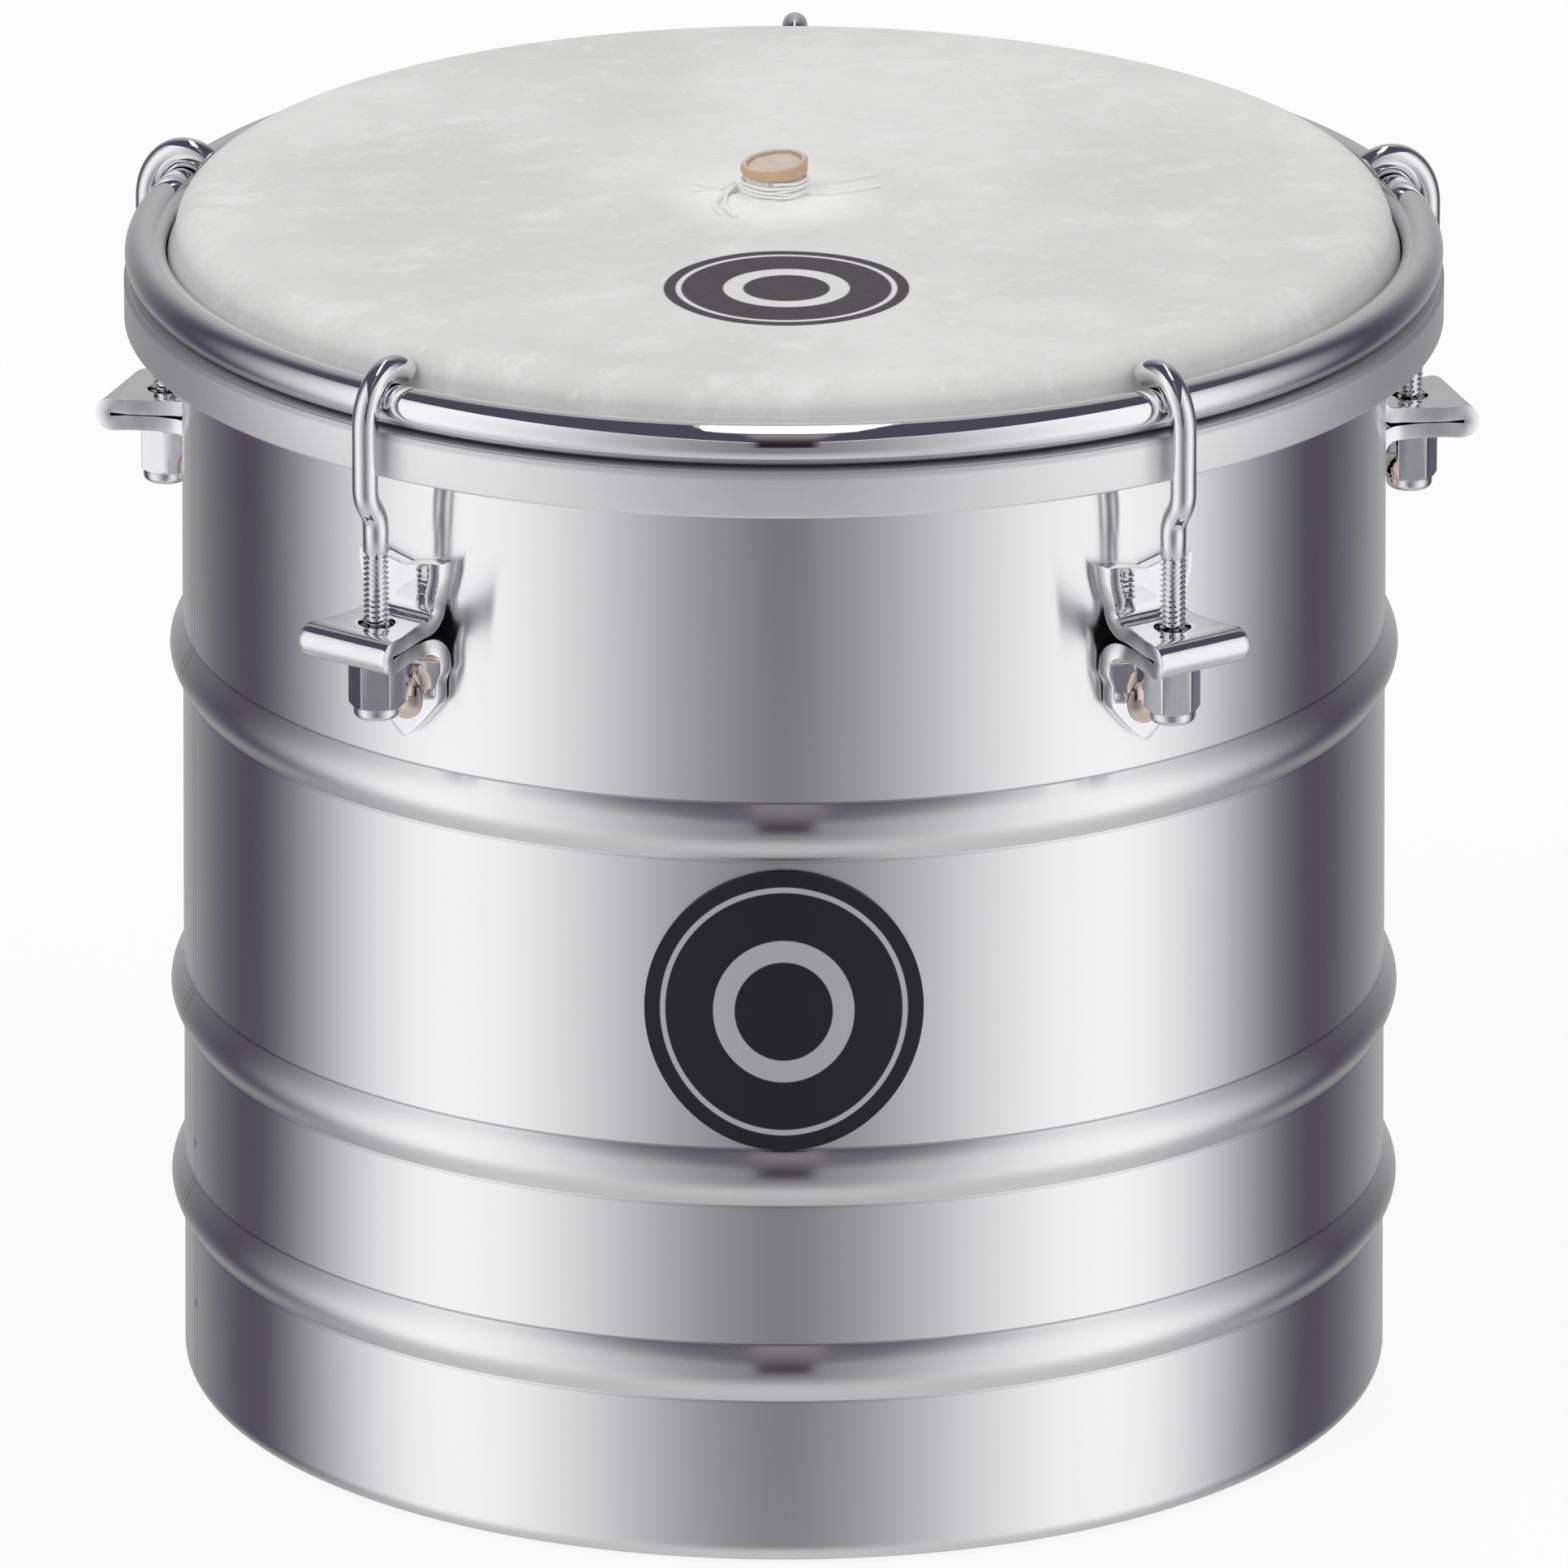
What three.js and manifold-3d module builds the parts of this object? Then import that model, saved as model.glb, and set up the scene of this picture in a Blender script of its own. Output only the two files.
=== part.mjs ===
// A cuica: a friction drum with an open aluminium shell, a goat-skin head and a bamboo stick.
// Five J-hooks pull a steel rod hoop down on the flesh hoop that holds the skin.
// Millimetres, +Z up. The origin is on the floor, at the middle of the drum's footprint box.
import * as THREE from 'three';
import { mergeVertices } from 'three/addons/utils/BufferGeometryUtils.js';
import Module from 'manifold-3d';

const wasm = await Module();
wasm.setup();

// General clearances, and the counts that round shapes are drawn with
const clearance = 0.3;
const cutOverrun = 2;
const lugCount = 5;
const ringSegments = 48;
const roundSides = 16;
const rodSides = 8;
const hexSides = 6;
const bendSteps = 2;
const roundSteps = 4;
const lipSteps = 6;

// Shell: one wall, straight but for a slight draft, with three rolled beads
const shellRadius = 117.5;
const shellHeight = 236.3;
const shellWall = 1.6;
const shellDraft = 1.4;
const rimRadius = 4.2;
const rimFlat = 1.6;
const rimCurlRadius = 3;
const bearingRadius = 5.5;
const lipTurnShare = 0.75;
const beadProud = 2.5;
const beadWidth = 11.2;
const beadBelowTab = 12;
const middleBeadShare = 0.532;
const lowBeadShare = 0.265;

// Badge on the shell's front
const badgeWidth = 52.8;
const badgeMargin = 1.1;
const badgeDrop = 0.9;
const badgeTurn = Math.PI / 180;
const badgeThickness = 0.45;

// Hoops
const hoopRodRadius = 4;
const hoopPlay = 1.7;
const hoopDrop = 9;
const hoopSides = 12;
const fleshHoopProud = 0.2;
const fleshHoopDepth = 9.2;
const fleshHoopSheet = 1.2;
const fleshHoopFlange = 6.6;

// Skin
const skinThickness = 1;
const hemDrop = 2.2;
const hemReach = 6;

// Stick with its button, and the skin and string tied round its neck
const stickOffset = -1.9;
const stickRadius = 4;
const stickFootHeight = 30;
const footBevel = 0.8;
const buttonRadius = 6.45;
const buttonDepth = 2.7;
const buttonHollowRadius = 4.2;
const buttonHollowDepth = 1;
const neckWall = 1.3;
const neckFootProud = 1;
const neckFootDepth = 1.2;
const neckBelow = 0.9;
const stringRadius = 0.35;
const stringTurns = 2.5;
const stringGap = 0.42;
const loopSteps = 24;

// Brackets: each is one strip of sheet, folded back on itself at the nose
const strip = 2.8;
const shelfDrop = 51.1;
const shelfThickness = 6.6;
const noseReach = 10.8;
const flangeRise = 11.2;
const flangeNotch = 1.8;
const tabDrop = 18.6;
const bracketBend = 2.6;
const shelfHoleRadius = 3.5;
const noseHalfWidth = 10.1;
const waistHalfWidth = 8;
const flangeHalfWidth = 10.2;
const tabShoulderHalfWidth = 9.3;
const tabHalfWidth = 8.2;
const tabShoulderShare = 0.28;
const tabPointShare = 0.56;
const flangeRootShare = 0.12;

// Tension hooks
const hookRodRadius = 2.3;
const hookPlay = 1.1;
const hookShoulder = 10;
const hookTipDegrees = 130;
const jogDrop = 0.6;
const jogDepth = 8;
const hookSteps = 28;

// Tension nuts
const nutAcrossFlats = 9.53;
const nutPlay = 0.4;
const nutHexHeight = 9.4;
const nutCollarHeight = 2.6;
const nutCollarRadius = 4.15;
const nutCollarEdge = 1.1;
const nutChamfer = 0.9;
const threadOvertake = 2.6;

// Rivets and the washers under their inner heads
const rivetDomeRadius = 4.5;
const rivetDomeRise = 2.1;
const rivetShankRadius = 2.2;
const rivetHeadRadius = 3.6;
const rivetHeadRise = 1.5;
const rivetTabShare = 0.56;
const washerRadius = 5;
const washerThickness = 1;

// Places worked out from the sizes above, from the shell outwards
const wallRadius = (height) => shellRadius - shellDraft * height / shellHeight;
const topRadius = wallRadius(shellHeight);
const skinTop = shellHeight + clearance + skinThickness;
const hoopInner = topRadius + clearance + skinThickness + hoopPlay;
const hoopRadius = hoopInner + hoopRodRadius;
const hoopHeight = shellHeight - hoopDrop;
const fleshHoopRadius = hoopRadius + hoopRodRadius + fleshHoopProud;
const fleshHoopTop = hoopHeight - hoopRodRadius - clearance;
const fleshHoopBottom = fleshHoopTop - fleshHoopDepth;

const shelfHeight = shellHeight - shelfDrop;
const shelfUnderside = shelfHeight - shelfThickness;
const bracketSeat = wallRadius(shelfHeight) + clearance;
const tabFace = bracketSeat + strip;
const tabBottom = shelfUnderside - tabDrop;
const rivetHeight = shelfUnderside - tabDrop * rivetTabShare;
const rivetSeat = tabFace + clearance;

const nutCornerRadius = nutAcrossFlats / Math.sqrt(3);
const nutTop = shelfUnderside - clearance;
const nutBottom = nutTop - nutHexHeight - nutCollarHeight;
const hookLegRadius = fleshHoopRadius + clearance + hookRodRadius + hookPlay;
const hookThreadRadius = rivetSeat + rivetDomeRise + nutPlay + nutCornerRadius;
const threadEnd = nutBottom + threadOvertake;
const lugReach = hookThreadRadius + noseReach;

const highBeadHeight = tabBottom - beadBelowTab;
const middleBeadHeight = highBeadHeight * middleBeadShare;
const lowBeadHeight = highBeadHeight * lowBeadShare;
const badgeHeight = (middleBeadHeight + highBeadHeight) / 2 - badgeDrop;
const badgeTallness = highBeadHeight - middleBeadHeight - beadWidth - 2 * badgeMargin;

const neckInner = stickRadius + clearance;
const neckOuter = neckInner + neckWall;
const neckFoot = skinTop - neckBelow;
const neckShoulder = neckFoot + neckFootDepth + neckFootProud / 2;
const stringCoilRadius = neckOuter + clearance + stringRadius;
const stringPitch = 2 * stringRadius + stringGap;
const stringLow = neckShoulder + stringRadius;
const neckTop = stringLow + stringPitch * stringTurns + stringRadius;
const buttonUnderside = neckTop + clearance;
const skinHoleRadius = neckOuter + neckFootProud + clearance;

// The drum stands this far forward, so that the back bracket's nose balances the front of the hoops
const halfFootprintShift = (lugReach - fleshHoopRadius) / 2;

// Materials
const finish = (color, roughness, metalness) =>
  new THREE.MeshStandardMaterial({ color, roughness, metalness });
const aluminium = finish(0xc9c9cc, 0.35, 0.9);
const chrome = finish(0xd8d8da, 0.12, 1);
const nickel = finish(0xc9bba8, 0.2, 1);
const goatSkin = finish(0xe4e3e0, 0.6, 0);
const bamboo = finish(0xc8a57f, 0.65, 0);
const twine = finish(0xf0f0ee, 0.8, 0);
const badgeBlack = finish(0x1c1a1e, 0.45, 0);

// Gives a geometry that is one closed body: shared corners merged, empty triangles left out,
// faces pointing outwards.
function closed(geometry) {
  const bare = geometry.clone();
  bare.deleteAttribute('normal');
  bare.deleteAttribute('uv');
  const merged = mergeVertices(bare);
  const corners = merged.index.array;
  const places = merged.attributes.position;
  const kept = [];
  let volume = 0;
  const [a, b, c] = [new THREE.Vector3(), new THREE.Vector3(), new THREE.Vector3()];
  for (let i = 0; i < corners.length; i += 3) {
    const [p, q, r] = [corners[i], corners[i + 1], corners[i + 2]];
    if (p === q || q === r || r === p) continue;
    kept.push([p, q, r]);
    a.fromBufferAttribute(places, p);
    b.fromBufferAttribute(places, q);
    c.fromBufferAttribute(places, r);
    volume += a.dot(b.cross(c));
  }
  const ordered = volume < 0 ? kept.map(([p, q, r]) => [p, r, q]) : kept;
  merged.setIndex(ordered.flat());
  return merged;
}

function toSolid(geometry) {
  const body = closed(geometry);
  const vertProperties = new Float32Array(body.attributes.position.array);
  const triVerts = new Uint32Array(body.index.array);
  return new wasm.Manifold(new wasm.Mesh({ numProp: 3, vertProperties, triVerts }));
}

function toGeometry(solid) {
  const mesh = solid.getMesh();
  const geometry = new THREE.BufferGeometry();
  geometry.setAttribute('position', new THREE.BufferAttribute(mesh.vertProperties, mesh.numProp));
  geometry.setIndex(new THREE.BufferAttribute(mesh.triVerts, 1));
  return geometry;
}

// Points of an arc in a [radius, height] drawing, from one angle to another in degrees.
function arc(centre, radius, from, to, steps) {
  return Array.from({ length: steps + 1 }, (_, i) => {
    const angle = THREE.MathUtils.degToRad(from + (to - from) * i / steps);
    return [centre[0] + radius * Math.cos(angle), centre[1] + radius * Math.sin(angle)];
  });
}

function circle(centre, radius, sides) {
  return arc(centre, radius, 0, 360 - 360 / sides, sides - 1);
}

// A line drawn beside another at a fixed distance, on its right-hand side.
function beside(line, distance) {
  const normals = line.slice(1).map((end, i) => {
    const [dx, dy] = [end[0] - line[i][0], end[1] - line[i][1]];
    const length = Math.hypot(dx, dy);
    return [dy / length, -dx / length];
  });
  return line.map((point, i) => {
    const before = normals[Math.max(i - 1, 0)];
    const after = normals[Math.min(i, normals.length - 1)];
    const scale = distance / (1 + before[0] * after[0] + before[1] * after[1]);
    return [point[0] + (before[0] + after[0]) * scale, point[1] + (before[1] + after[1]) * scale];
  });
}

// Turns a closed outline of [radius, height] points round the Z axis.
function turned(outline, segments = ringSegments) {
  const points = [...outline, outline[0]].map(([radius, height]) => new THREE.Vector2(radius, height));
  return new THREE.LatheGeometry(points, segments).rotateX(Math.PI / 2);
}

function prism(outline, depth) {
  const shape = new THREE.Shape(outline.map(([x, y]) => new THREE.Vector2(x, y)));
  return new THREE.ExtrudeGeometry(shape, { depth, bevelEnabled: false });
}

// A round bar along X, between two places on that axis, at a given height.
function radialBar(radius, from, to, height) {
  const bar = new THREE.CylinderGeometry(radius, radius, to - from, roundSides);
  return bar.rotateZ(Math.PI / 2).translate((from + to) / 2, 0, height);
}

function uprightBar(radius, from, to, x = 0, sides = roundSides) {
  const bar = new THREE.CylinderGeometry(radius, radius, to - from, sides);
  return bar.rotateX(Math.PI / 2).translate(x, 0, (from + to) / 2);
}

// Angle of each lug round the drum: the first is at the back, the rest follow anticlockwise.
const lugAngles = Array.from({ length: lugCount }, (_, i) => Math.PI / 2 + 2 * Math.PI * i / lugCount);

const drum = new THREE.Group();
drum.position.y = -halfFootprintShift;

function place(name, geometry, material, angle = 0) {
  const mesh = new THREE.Mesh(closed(geometry), material);
  mesh.name = name;
  mesh.rotation.z = angle;
  drum.add(mesh);
}

// Shell

function bead(height, steps) {
  const halfWidth = beadWidth / 2;
  const radius = (halfWidth ** 2 + beadProud ** 2) / (2 * beadProud);
  const spread = THREE.MathUtils.radToDeg(Math.asin(halfWidth / radius));
  return arc([wallRadius(height) + beadProud - radius, height], radius, -spread, spread, steps);
}

// The wall's outer line, from the inner end of the bottom curl to the end of the top lip
function wallLine(beadSteps) {
  const footInner = shellRadius - rimRadius - rimFlat;
  const topCentre = [topRadius - bearingRadius, shellHeight - bearingRadius];
  return [
    ...arc([footInner, rimCurlRadius], rimCurlRadius, 180, 270, bendSteps),
    ...arc([shellRadius - rimRadius, rimRadius], rimRadius, 270, 360, roundSteps),
    ...[lowBeadHeight, middleBeadHeight, highBeadHeight].flatMap((height) => bead(height, beadSteps)),
    ...arc(topCentre, bearingRadius, 0, 180 * lipTurnShare, lipSteps),
  ];
}

const shellOutline = [...wallLine(roundSteps), ...beside(wallLine(bendSteps), -shellWall).reverse()];
const rivetHoles = lugAngles.map((angle) =>
  toSolid(radialBar(rivetShankRadius + clearance, shellRadius / 2, lugReach, rivetHeight).rotateZ(angle)));
const shell = rivetHoles.reduce((body, hole) => body.subtract(hole), toSolid(turned(shellOutline)));
place('shell', toGeometry(shell), aluminium);

// Badge: a thin disc bent round the shell between the two upper beads

function badge() {
  const [low, high] = [badgeHeight - badgeTallness, badgeHeight + badgeTallness];
  const inner = [[wallRadius(low) + clearance, low], [wallRadius(high) + clearance, high]];
  const band = toSolid(turned([...inner, ...beside(inner, badgeThickness).reverse()]));
  const cutter = new THREE.CylinderGeometry(1, 1, shellRadius, roundSides);
  cutter.scale(badgeWidth / 2, 1, badgeTallness / 2).translate(0, -shellRadius, badgeHeight);
  return toGeometry(band.intersect(toSolid(cutter))).rotateZ(badgeTurn);
}

place('shell_badge', badge(), badgeBlack);

// Hoops

place('counter_hoop', turned(circle([hoopRadius, hoopHeight], hoopRodRadius, hoopSides)), chrome);

function fleshHoopOutline() {
  const inner = fleshHoopRadius - fleshHoopFlange;
  const wall = fleshHoopRadius - fleshHoopSheet;
  const [low, high] = [fleshHoopBottom, fleshHoopTop];
  return [
    [inner, low], [wall, low], [fleshHoopRadius, low + fleshHoopSheet],
    [fleshHoopRadius, high - fleshHoopSheet], [wall, high], [inner, high],
    [inner, high - fleshHoopSheet], [wall, high - fleshHoopSheet],
    [wall, low + fleshHoopSheet], [inner, low + fleshHoopSheet],
  ];
}

place('flesh_hoop', turned(fleshHoopOutline()), aluminium);

// Skin: over the bearing edge, down inside the rod hoop, and hemmed inside the flesh hoop

function skinCap() {
  const centre = [topRadius - bearingRadius, shellHeight - bearingRadius];
  const side = hoopInner - clearance;
  const hemHeight = fleshHoopBottom + fleshHoopDepth / 2;
  const outside = [
    [0, skinTop],
    ...arc(centre, bearingRadius + clearance + skinThickness, 90, 0, roundSteps),
    [side, hoopHeight],
    [side, hemHeight],
    [side + hemReach, hemHeight],
    [side + hemReach, hemHeight - hemDrop],
  ];
  return turned([...outside, ...beside(outside, skinThickness).reverse()]);
}

function skin() {
  const hole = uprightBar(skinHoleRadius, fleshHoopTop, skinTop + cutOverrun, stickOffset);
  return toGeometry(toSolid(skinCap()).subtract(toSolid(hole)));
}

place('skin', skin(), goatSkin);

// Stick: a bamboo rod whose button stands on the tied neck of skin

function stickOutline() {
  const top = buttonUnderside + buttonDepth;
  return [
    [0, stickFootHeight], [stickRadius - footBevel, stickFootHeight],
    [stickRadius, stickFootHeight + footBevel],
    [stickRadius, buttonUnderside], [buttonRadius, buttonUnderside], [buttonRadius, top],
    [buttonHollowRadius, top], [buttonHollowRadius, top - buttonHollowDepth],
    [0, top - buttonHollowDepth],
  ];
}

place('stick', turned(stickOutline(), roundSides).translate(stickOffset, 0, 0), bamboo);

function neckOutline() {
  const footRadius = neckOuter + neckFootProud;
  return [
    [neckInner, neckFoot], [footRadius, neckFoot], [footRadius, neckFoot + neckFootDepth],
    [neckOuter, neckShoulder], [neckOuter, neckTop], [neckInner, neckTop],
  ];
}

place('skin_neck', turned(neckOutline(), roundSides).translate(stickOffset, 0, 0), goatSkin);

// String: one cord wound round the neck, each end running on straight for its own diameter

function stringPoints() {
  const turns = Array.from({ length: loopSteps * stringTurns + 1 }, (_, i) => {
    const angle = Math.PI - 2 * Math.PI * i / loopSteps;
    const height = stringLow + stringPitch * i / loopSteps;
    return new THREE.Vector3(
      stringCoilRadius * Math.cos(angle), stringCoilRadius * Math.sin(angle), height);
  });
  const front = new THREE.Vector3(0, -1, 0);
  const runOn = (end) => end.clone().addScaledVector(front, 2 * stringRadius);
  return [runOn(turns[0]), ...turns, runOn(turns[turns.length - 1])];
}

// A tube along points, with rings square to the line and flat ends.
function tube(points, radius, sides) {
  const line = points.map((point, i) => {
    const before = points[Math.max(i - 1, 0)];
    const after = points[Math.min(i + 1, points.length - 1)];
    const along = after.clone().sub(before).normalize();
    const across = new THREE.Vector3(0, 0, 1).cross(along).normalize();
    return { point, across, over: along.clone().cross(across) };
  });
  const corners = line.flatMap(({ point, across, over }) => Array.from({ length: sides }, (_, k) => {
    const angle = 2 * Math.PI * k / sides;
    return point.clone()
      .addScaledVector(across, radius * Math.cos(angle))
      .addScaledVector(over, radius * Math.sin(angle));
  }));
  const index = [];
  for (let i = 0; i + 1 < line.length; i += 1) {
    for (let k = 0; k < sides; k += 1) {
      const [a, b] = [i * sides + k, i * sides + (k + 1) % sides];
      index.push(a, b, b + sides, a, b + sides, a + sides);
    }
  }
  const last = (line.length - 1) * sides;
  for (let k = 1; k + 1 < sides; k += 1) {
    index.push(0, k + 1, k, last, last + k, last + k + 1);
  }
  const geometry = new THREE.BufferGeometry().setFromPoints(corners);
  geometry.setIndex(index);
  return geometry;
}

// The least space between two stretches of one cord that aren't neighbours along it.
function leastGap(points, radius) {
  const apart = 8 * radius;
  const travelled = [0];
  points.slice(1).forEach((point, i) => travelled.push(travelled[i] + point.distanceTo(points[i])));
  let least = Infinity;
  points.forEach((point, i) => points.forEach((other, j) => {
    if (travelled[j] - travelled[i] > apart) least = Math.min(least, point.distanceTo(other));
  }));
  return least - 2 * radius;
}

const windingPoints = stringPoints();
console.log(`tie_string least gap to itself: ${leastGap(windingPoints, stringRadius).toFixed(2)} mm`);
place('tie_string', tube(windingPoints, stringRadius, hexSides).translate(stickOffset, 0, 0), twine);

// Tension hook: over the rod hoop, down outside it, a jog inward and a straight threaded end

function hookPath() {
  const bow = hoopRodRadius + clearance + hookRodRadius;
  const apex = hoopHeight + bow;
  const shoulder = apex - hookShoulder;
  const jogTop = fleshHoopBottom - jogDrop;
  const jogBottom = jogTop - jogDepth;
  const point = (radius, height) => new THREE.Vector3(radius, 0, height);
  const tip = arc([hoopRadius, hoopHeight], bow, hookTipDegrees, 90, roundSteps);
  const path = new THREE.CurvePath();
  const bowPoints = tip.map(([radius, height]) => point(radius, height));
  path.add(new THREE.CatmullRomCurve3(bowPoints));
  const kappa = 4 * (Math.SQRT2 - 1) / 3;
  path.add(new THREE.CubicBezierCurve3(
    point(hoopRadius, apex),
    point(hoopRadius + (hookLegRadius - hoopRadius) * kappa, apex),
    point(hookLegRadius, shoulder + hookShoulder * kappa),
    point(hookLegRadius, shoulder)));
  path.add(new THREE.LineCurve3(point(hookLegRadius, shoulder), point(hookLegRadius, jogTop)));
  path.add(new THREE.CubicBezierCurve3(
    point(hookLegRadius, jogTop),
    point(hookLegRadius, jogTop - jogDepth / 2),
    point(hookThreadRadius, jogBottom + jogDepth / 2),
    point(hookThreadRadius, jogBottom)));
  path.add(new THREE.LineCurve3(point(hookThreadRadius, jogBottom), point(hookThreadRadius, threadEnd)));
  return path;
}

function hook() {
  const round = circle([0, 0], hookRodRadius, rodSides).map(([x, y]) => new THREE.Vector2(x, y));
  const section = new THREE.Shape(round);
  return new THREE.ExtrudeGeometry(section, { steps: hookSteps, extrudePath: hookPath() });
}

// Bracket: flange against the shell, shelf out to the folded nose and back, tab down to a point

function bracketStrip() {
  const middle = bracketSeat + strip / 2;
  const bend = bracketBend + strip / 2;
  const upper = shelfHeight - strip / 2;
  const lower = shelfUnderside + strip / 2;
  const foldRadius = (upper - lower) / 2;
  const foldCentre = lugReach - strip / 2 - foldRadius;
  const line = [
    [middle, shelfHeight + flangeRise],
    ...arc([middle + bend, upper + bend], bend, 180, 270, bendSteps),
    ...arc([foldCentre, lower + foldRadius], foldRadius, 90, -90, roundSteps),
    ...arc([middle + bend, lower - bend], bend, 90, 180, bendSteps),
    [middle, tabBottom],
  ];
  const section = [...beside(line, strip / 2), ...beside(line, -strip / 2).reverse()];
  const width = 2 * (flangeHalfWidth + cutOverrun);
  return prism(section, width).translate(0, 0, -width / 2).rotateX(Math.PI / 2);
}

// Front view of the bracket, as [across, height] points
function bracketFront() {
  const flangeTop = shelfHeight + flangeRise;
  const side = [
    [tabHalfWidth, shelfUnderside - tabDrop * tabPointShare],
    [tabHalfWidth, shelfUnderside - tabDrop * tabShoulderShare],
    [tabShoulderHalfWidth, shelfUnderside - bracketBend],
    [flangeHalfWidth, shelfUnderside],
    [flangeHalfWidth, shelfHeight],
    [waistHalfWidth, shelfHeight + flangeRise * flangeRootShare],
    [flangeHalfWidth, flangeTop],
  ];
  const otherSide = side.map(([across, height]) => [-across, height]).reverse();
  const outline = [[0, tabBottom], ...side, [0, flangeTop - flangeNotch], ...otherSide];
  const depth = lugReach - bracketSeat + 2 * cutOverrun;
  return prism(outline, depth).rotateX(Math.PI / 2).rotateZ(Math.PI / 2)
    .translate(bracketSeat - cutOverrun, 0, 0);
}

// Top view of the bracket, as [radius, across] points, with sides that flare out to the nose
function bracketTop() {
  const root = bracketSeat - cutOverrun;
  const waist = tabFace + bracketBend;
  const nose = lugReach + cutOverrun;
  const flare = new THREE.QuadraticBezierCurve(
    new THREE.Vector2(waist, waistHalfWidth),
    new THREE.Vector2((waist + lugReach) / 2, waistHalfWidth),
    new THREE.Vector2(lugReach, noseHalfWidth));
  const flank = flare.getPoints(bendSteps).map((point) => [point.x, point.y]);
  const upper = [[root, flangeHalfWidth], [tabFace, flangeHalfWidth], ...flank, [nose, noseHalfWidth]];
  const lower = upper.map(([radius, across]) => [radius, -across]);
  const depth = flangeRise + shelfThickness + tabDrop + 2 * cutOverrun;
  return prism([...lower, ...upper.reverse()], depth).translate(0, 0, tabBottom - cutOverrun);
}

function bracket() {
  const rodHole = uprightBar(shelfHoleRadius, tabBottom, shelfHeight + cutOverrun, hookThreadRadius);
  const rivetHole = radialBar(rivetShankRadius + clearance, shellRadius / 2, rivetSeat, rivetHeight);
  const body = toSolid(bracketStrip())
    .intersect(toSolid(bracketFront()))
    .intersect(toSolid(bracketTop()))
    .subtract(toSolid(rodHole))
    .subtract(toSolid(rivetHole));
  return toGeometry(body);
}

// Tension nut: a hexagon with a chamfered top and a round collar below, bored for the hook

function nut() {
  const hexBottom = nutTop - nutHexHeight;
  const barrel = turned([
    [0, nutBottom], [nutCollarRadius - nutCollarEdge, nutBottom],
    [nutCollarRadius, nutBottom + nutCollarEdge], [nutCollarRadius, hexBottom],
    [nutCornerRadius, hexBottom], [nutCornerRadius, nutTop - nutChamfer],
    [nutCornerRadius - nutChamfer, nutTop], [0, nutTop],
  ], roundSides);
  const hexagon = uprightBar(nutCornerRadius, nutBottom - cutOverrun, nutTop + cutOverrun, 0, hexSides);
  const bore = uprightBar(hookRodRadius + clearance, nutBottom - cutOverrun, nutTop + cutOverrun);
  const body = toSolid(barrel).intersect(toSolid(hexagon)).subtract(toSolid(bore));
  return toGeometry(body).translate(hookThreadRadius, 0, 0);
}

// Rivet through tab and shell, with a low dome outside and a pressed head on a washer inside

const washerOutside = Math.sqrt((wallRadius(rivetHeight) - shellWall) ** 2 - washerRadius ** 2) - clearance;
const washerInside = washerOutside - washerThickness;

function rivet() {
  const domeSphere = (rivetDomeRadius ** 2 + rivetDomeRise ** 2) / (2 * rivetDomeRise);
  const spread = THREE.MathUtils.radToDeg(Math.asin(rivetDomeRadius / domeSphere));
  const dome = arc([0, rivetSeat + rivetDomeRise - domeSphere], domeSphere, 90 - spread, 90, roundSteps);
  const head = washerInside - clearance;
  const outline = [
    [0, head - rivetHeadRise], [rivetHeadRadius - rivetHeadRise / 2, head - rivetHeadRise],
    [rivetHeadRadius, head - rivetHeadRise / 2], [rivetHeadRadius, head],
    [rivetShankRadius, head], [rivetShankRadius, rivetSeat],
    ...dome,
  ];
  return turned(outline, roundSides / 2).rotateY(Math.PI / 2).translate(0, 0, rivetHeight);
}

function washer() {
  const bore = rivetShankRadius + clearance;
  const outline = [
    [bore, washerInside], [washerRadius, washerInside],
    [washerRadius, washerOutside], [bore, washerOutside],
  ];
  return turned(outline, roundSides / 2).rotateY(Math.PI / 2).translate(0, 0, rivetHeight);
}

const lugPieces = [
  ['lug_bracket', bracket(), chrome],
  ['tension_hook', hook(), chrome],
  ['tension_nut', nut(), chrome],
  ['bracket_rivet', rivet(), nickel],
  ['rivet_washer', washer(), aluminium],
];
lugAngles.forEach((angle, i) => {
  lugPieces.forEach(([name, geometry, material]) => place(`${name}_${i + 1}`, geometry, material, angle));
});

const cuica = new THREE.Group();
cuica.add(drum);
cuica.updateMatrixWorld(true);

export default cuica;
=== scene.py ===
# %% [markdown]
# # A cuica, the drum that is played from inside
#
# A cuica is an open aluminium shell with a goat skin stretched over its upper edge. A thin bamboo
# stick is tied to the middle of the skin and hangs down inside, where a hand rubs it with a damp
# cloth. Five hooks pull a steel hoop down on the skin.
#
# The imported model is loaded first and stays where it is. Each of its nodes is then replaced by a
# finer piece of the same size in the same place, so the joints keep working.

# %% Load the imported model
from math import asin, atan2, cos, degrees, exp, hypot, pi, radians, remainder, sin, sqrt

import bmesh
import bpy
from mathutils import Matrix, Vector, noise


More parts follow.
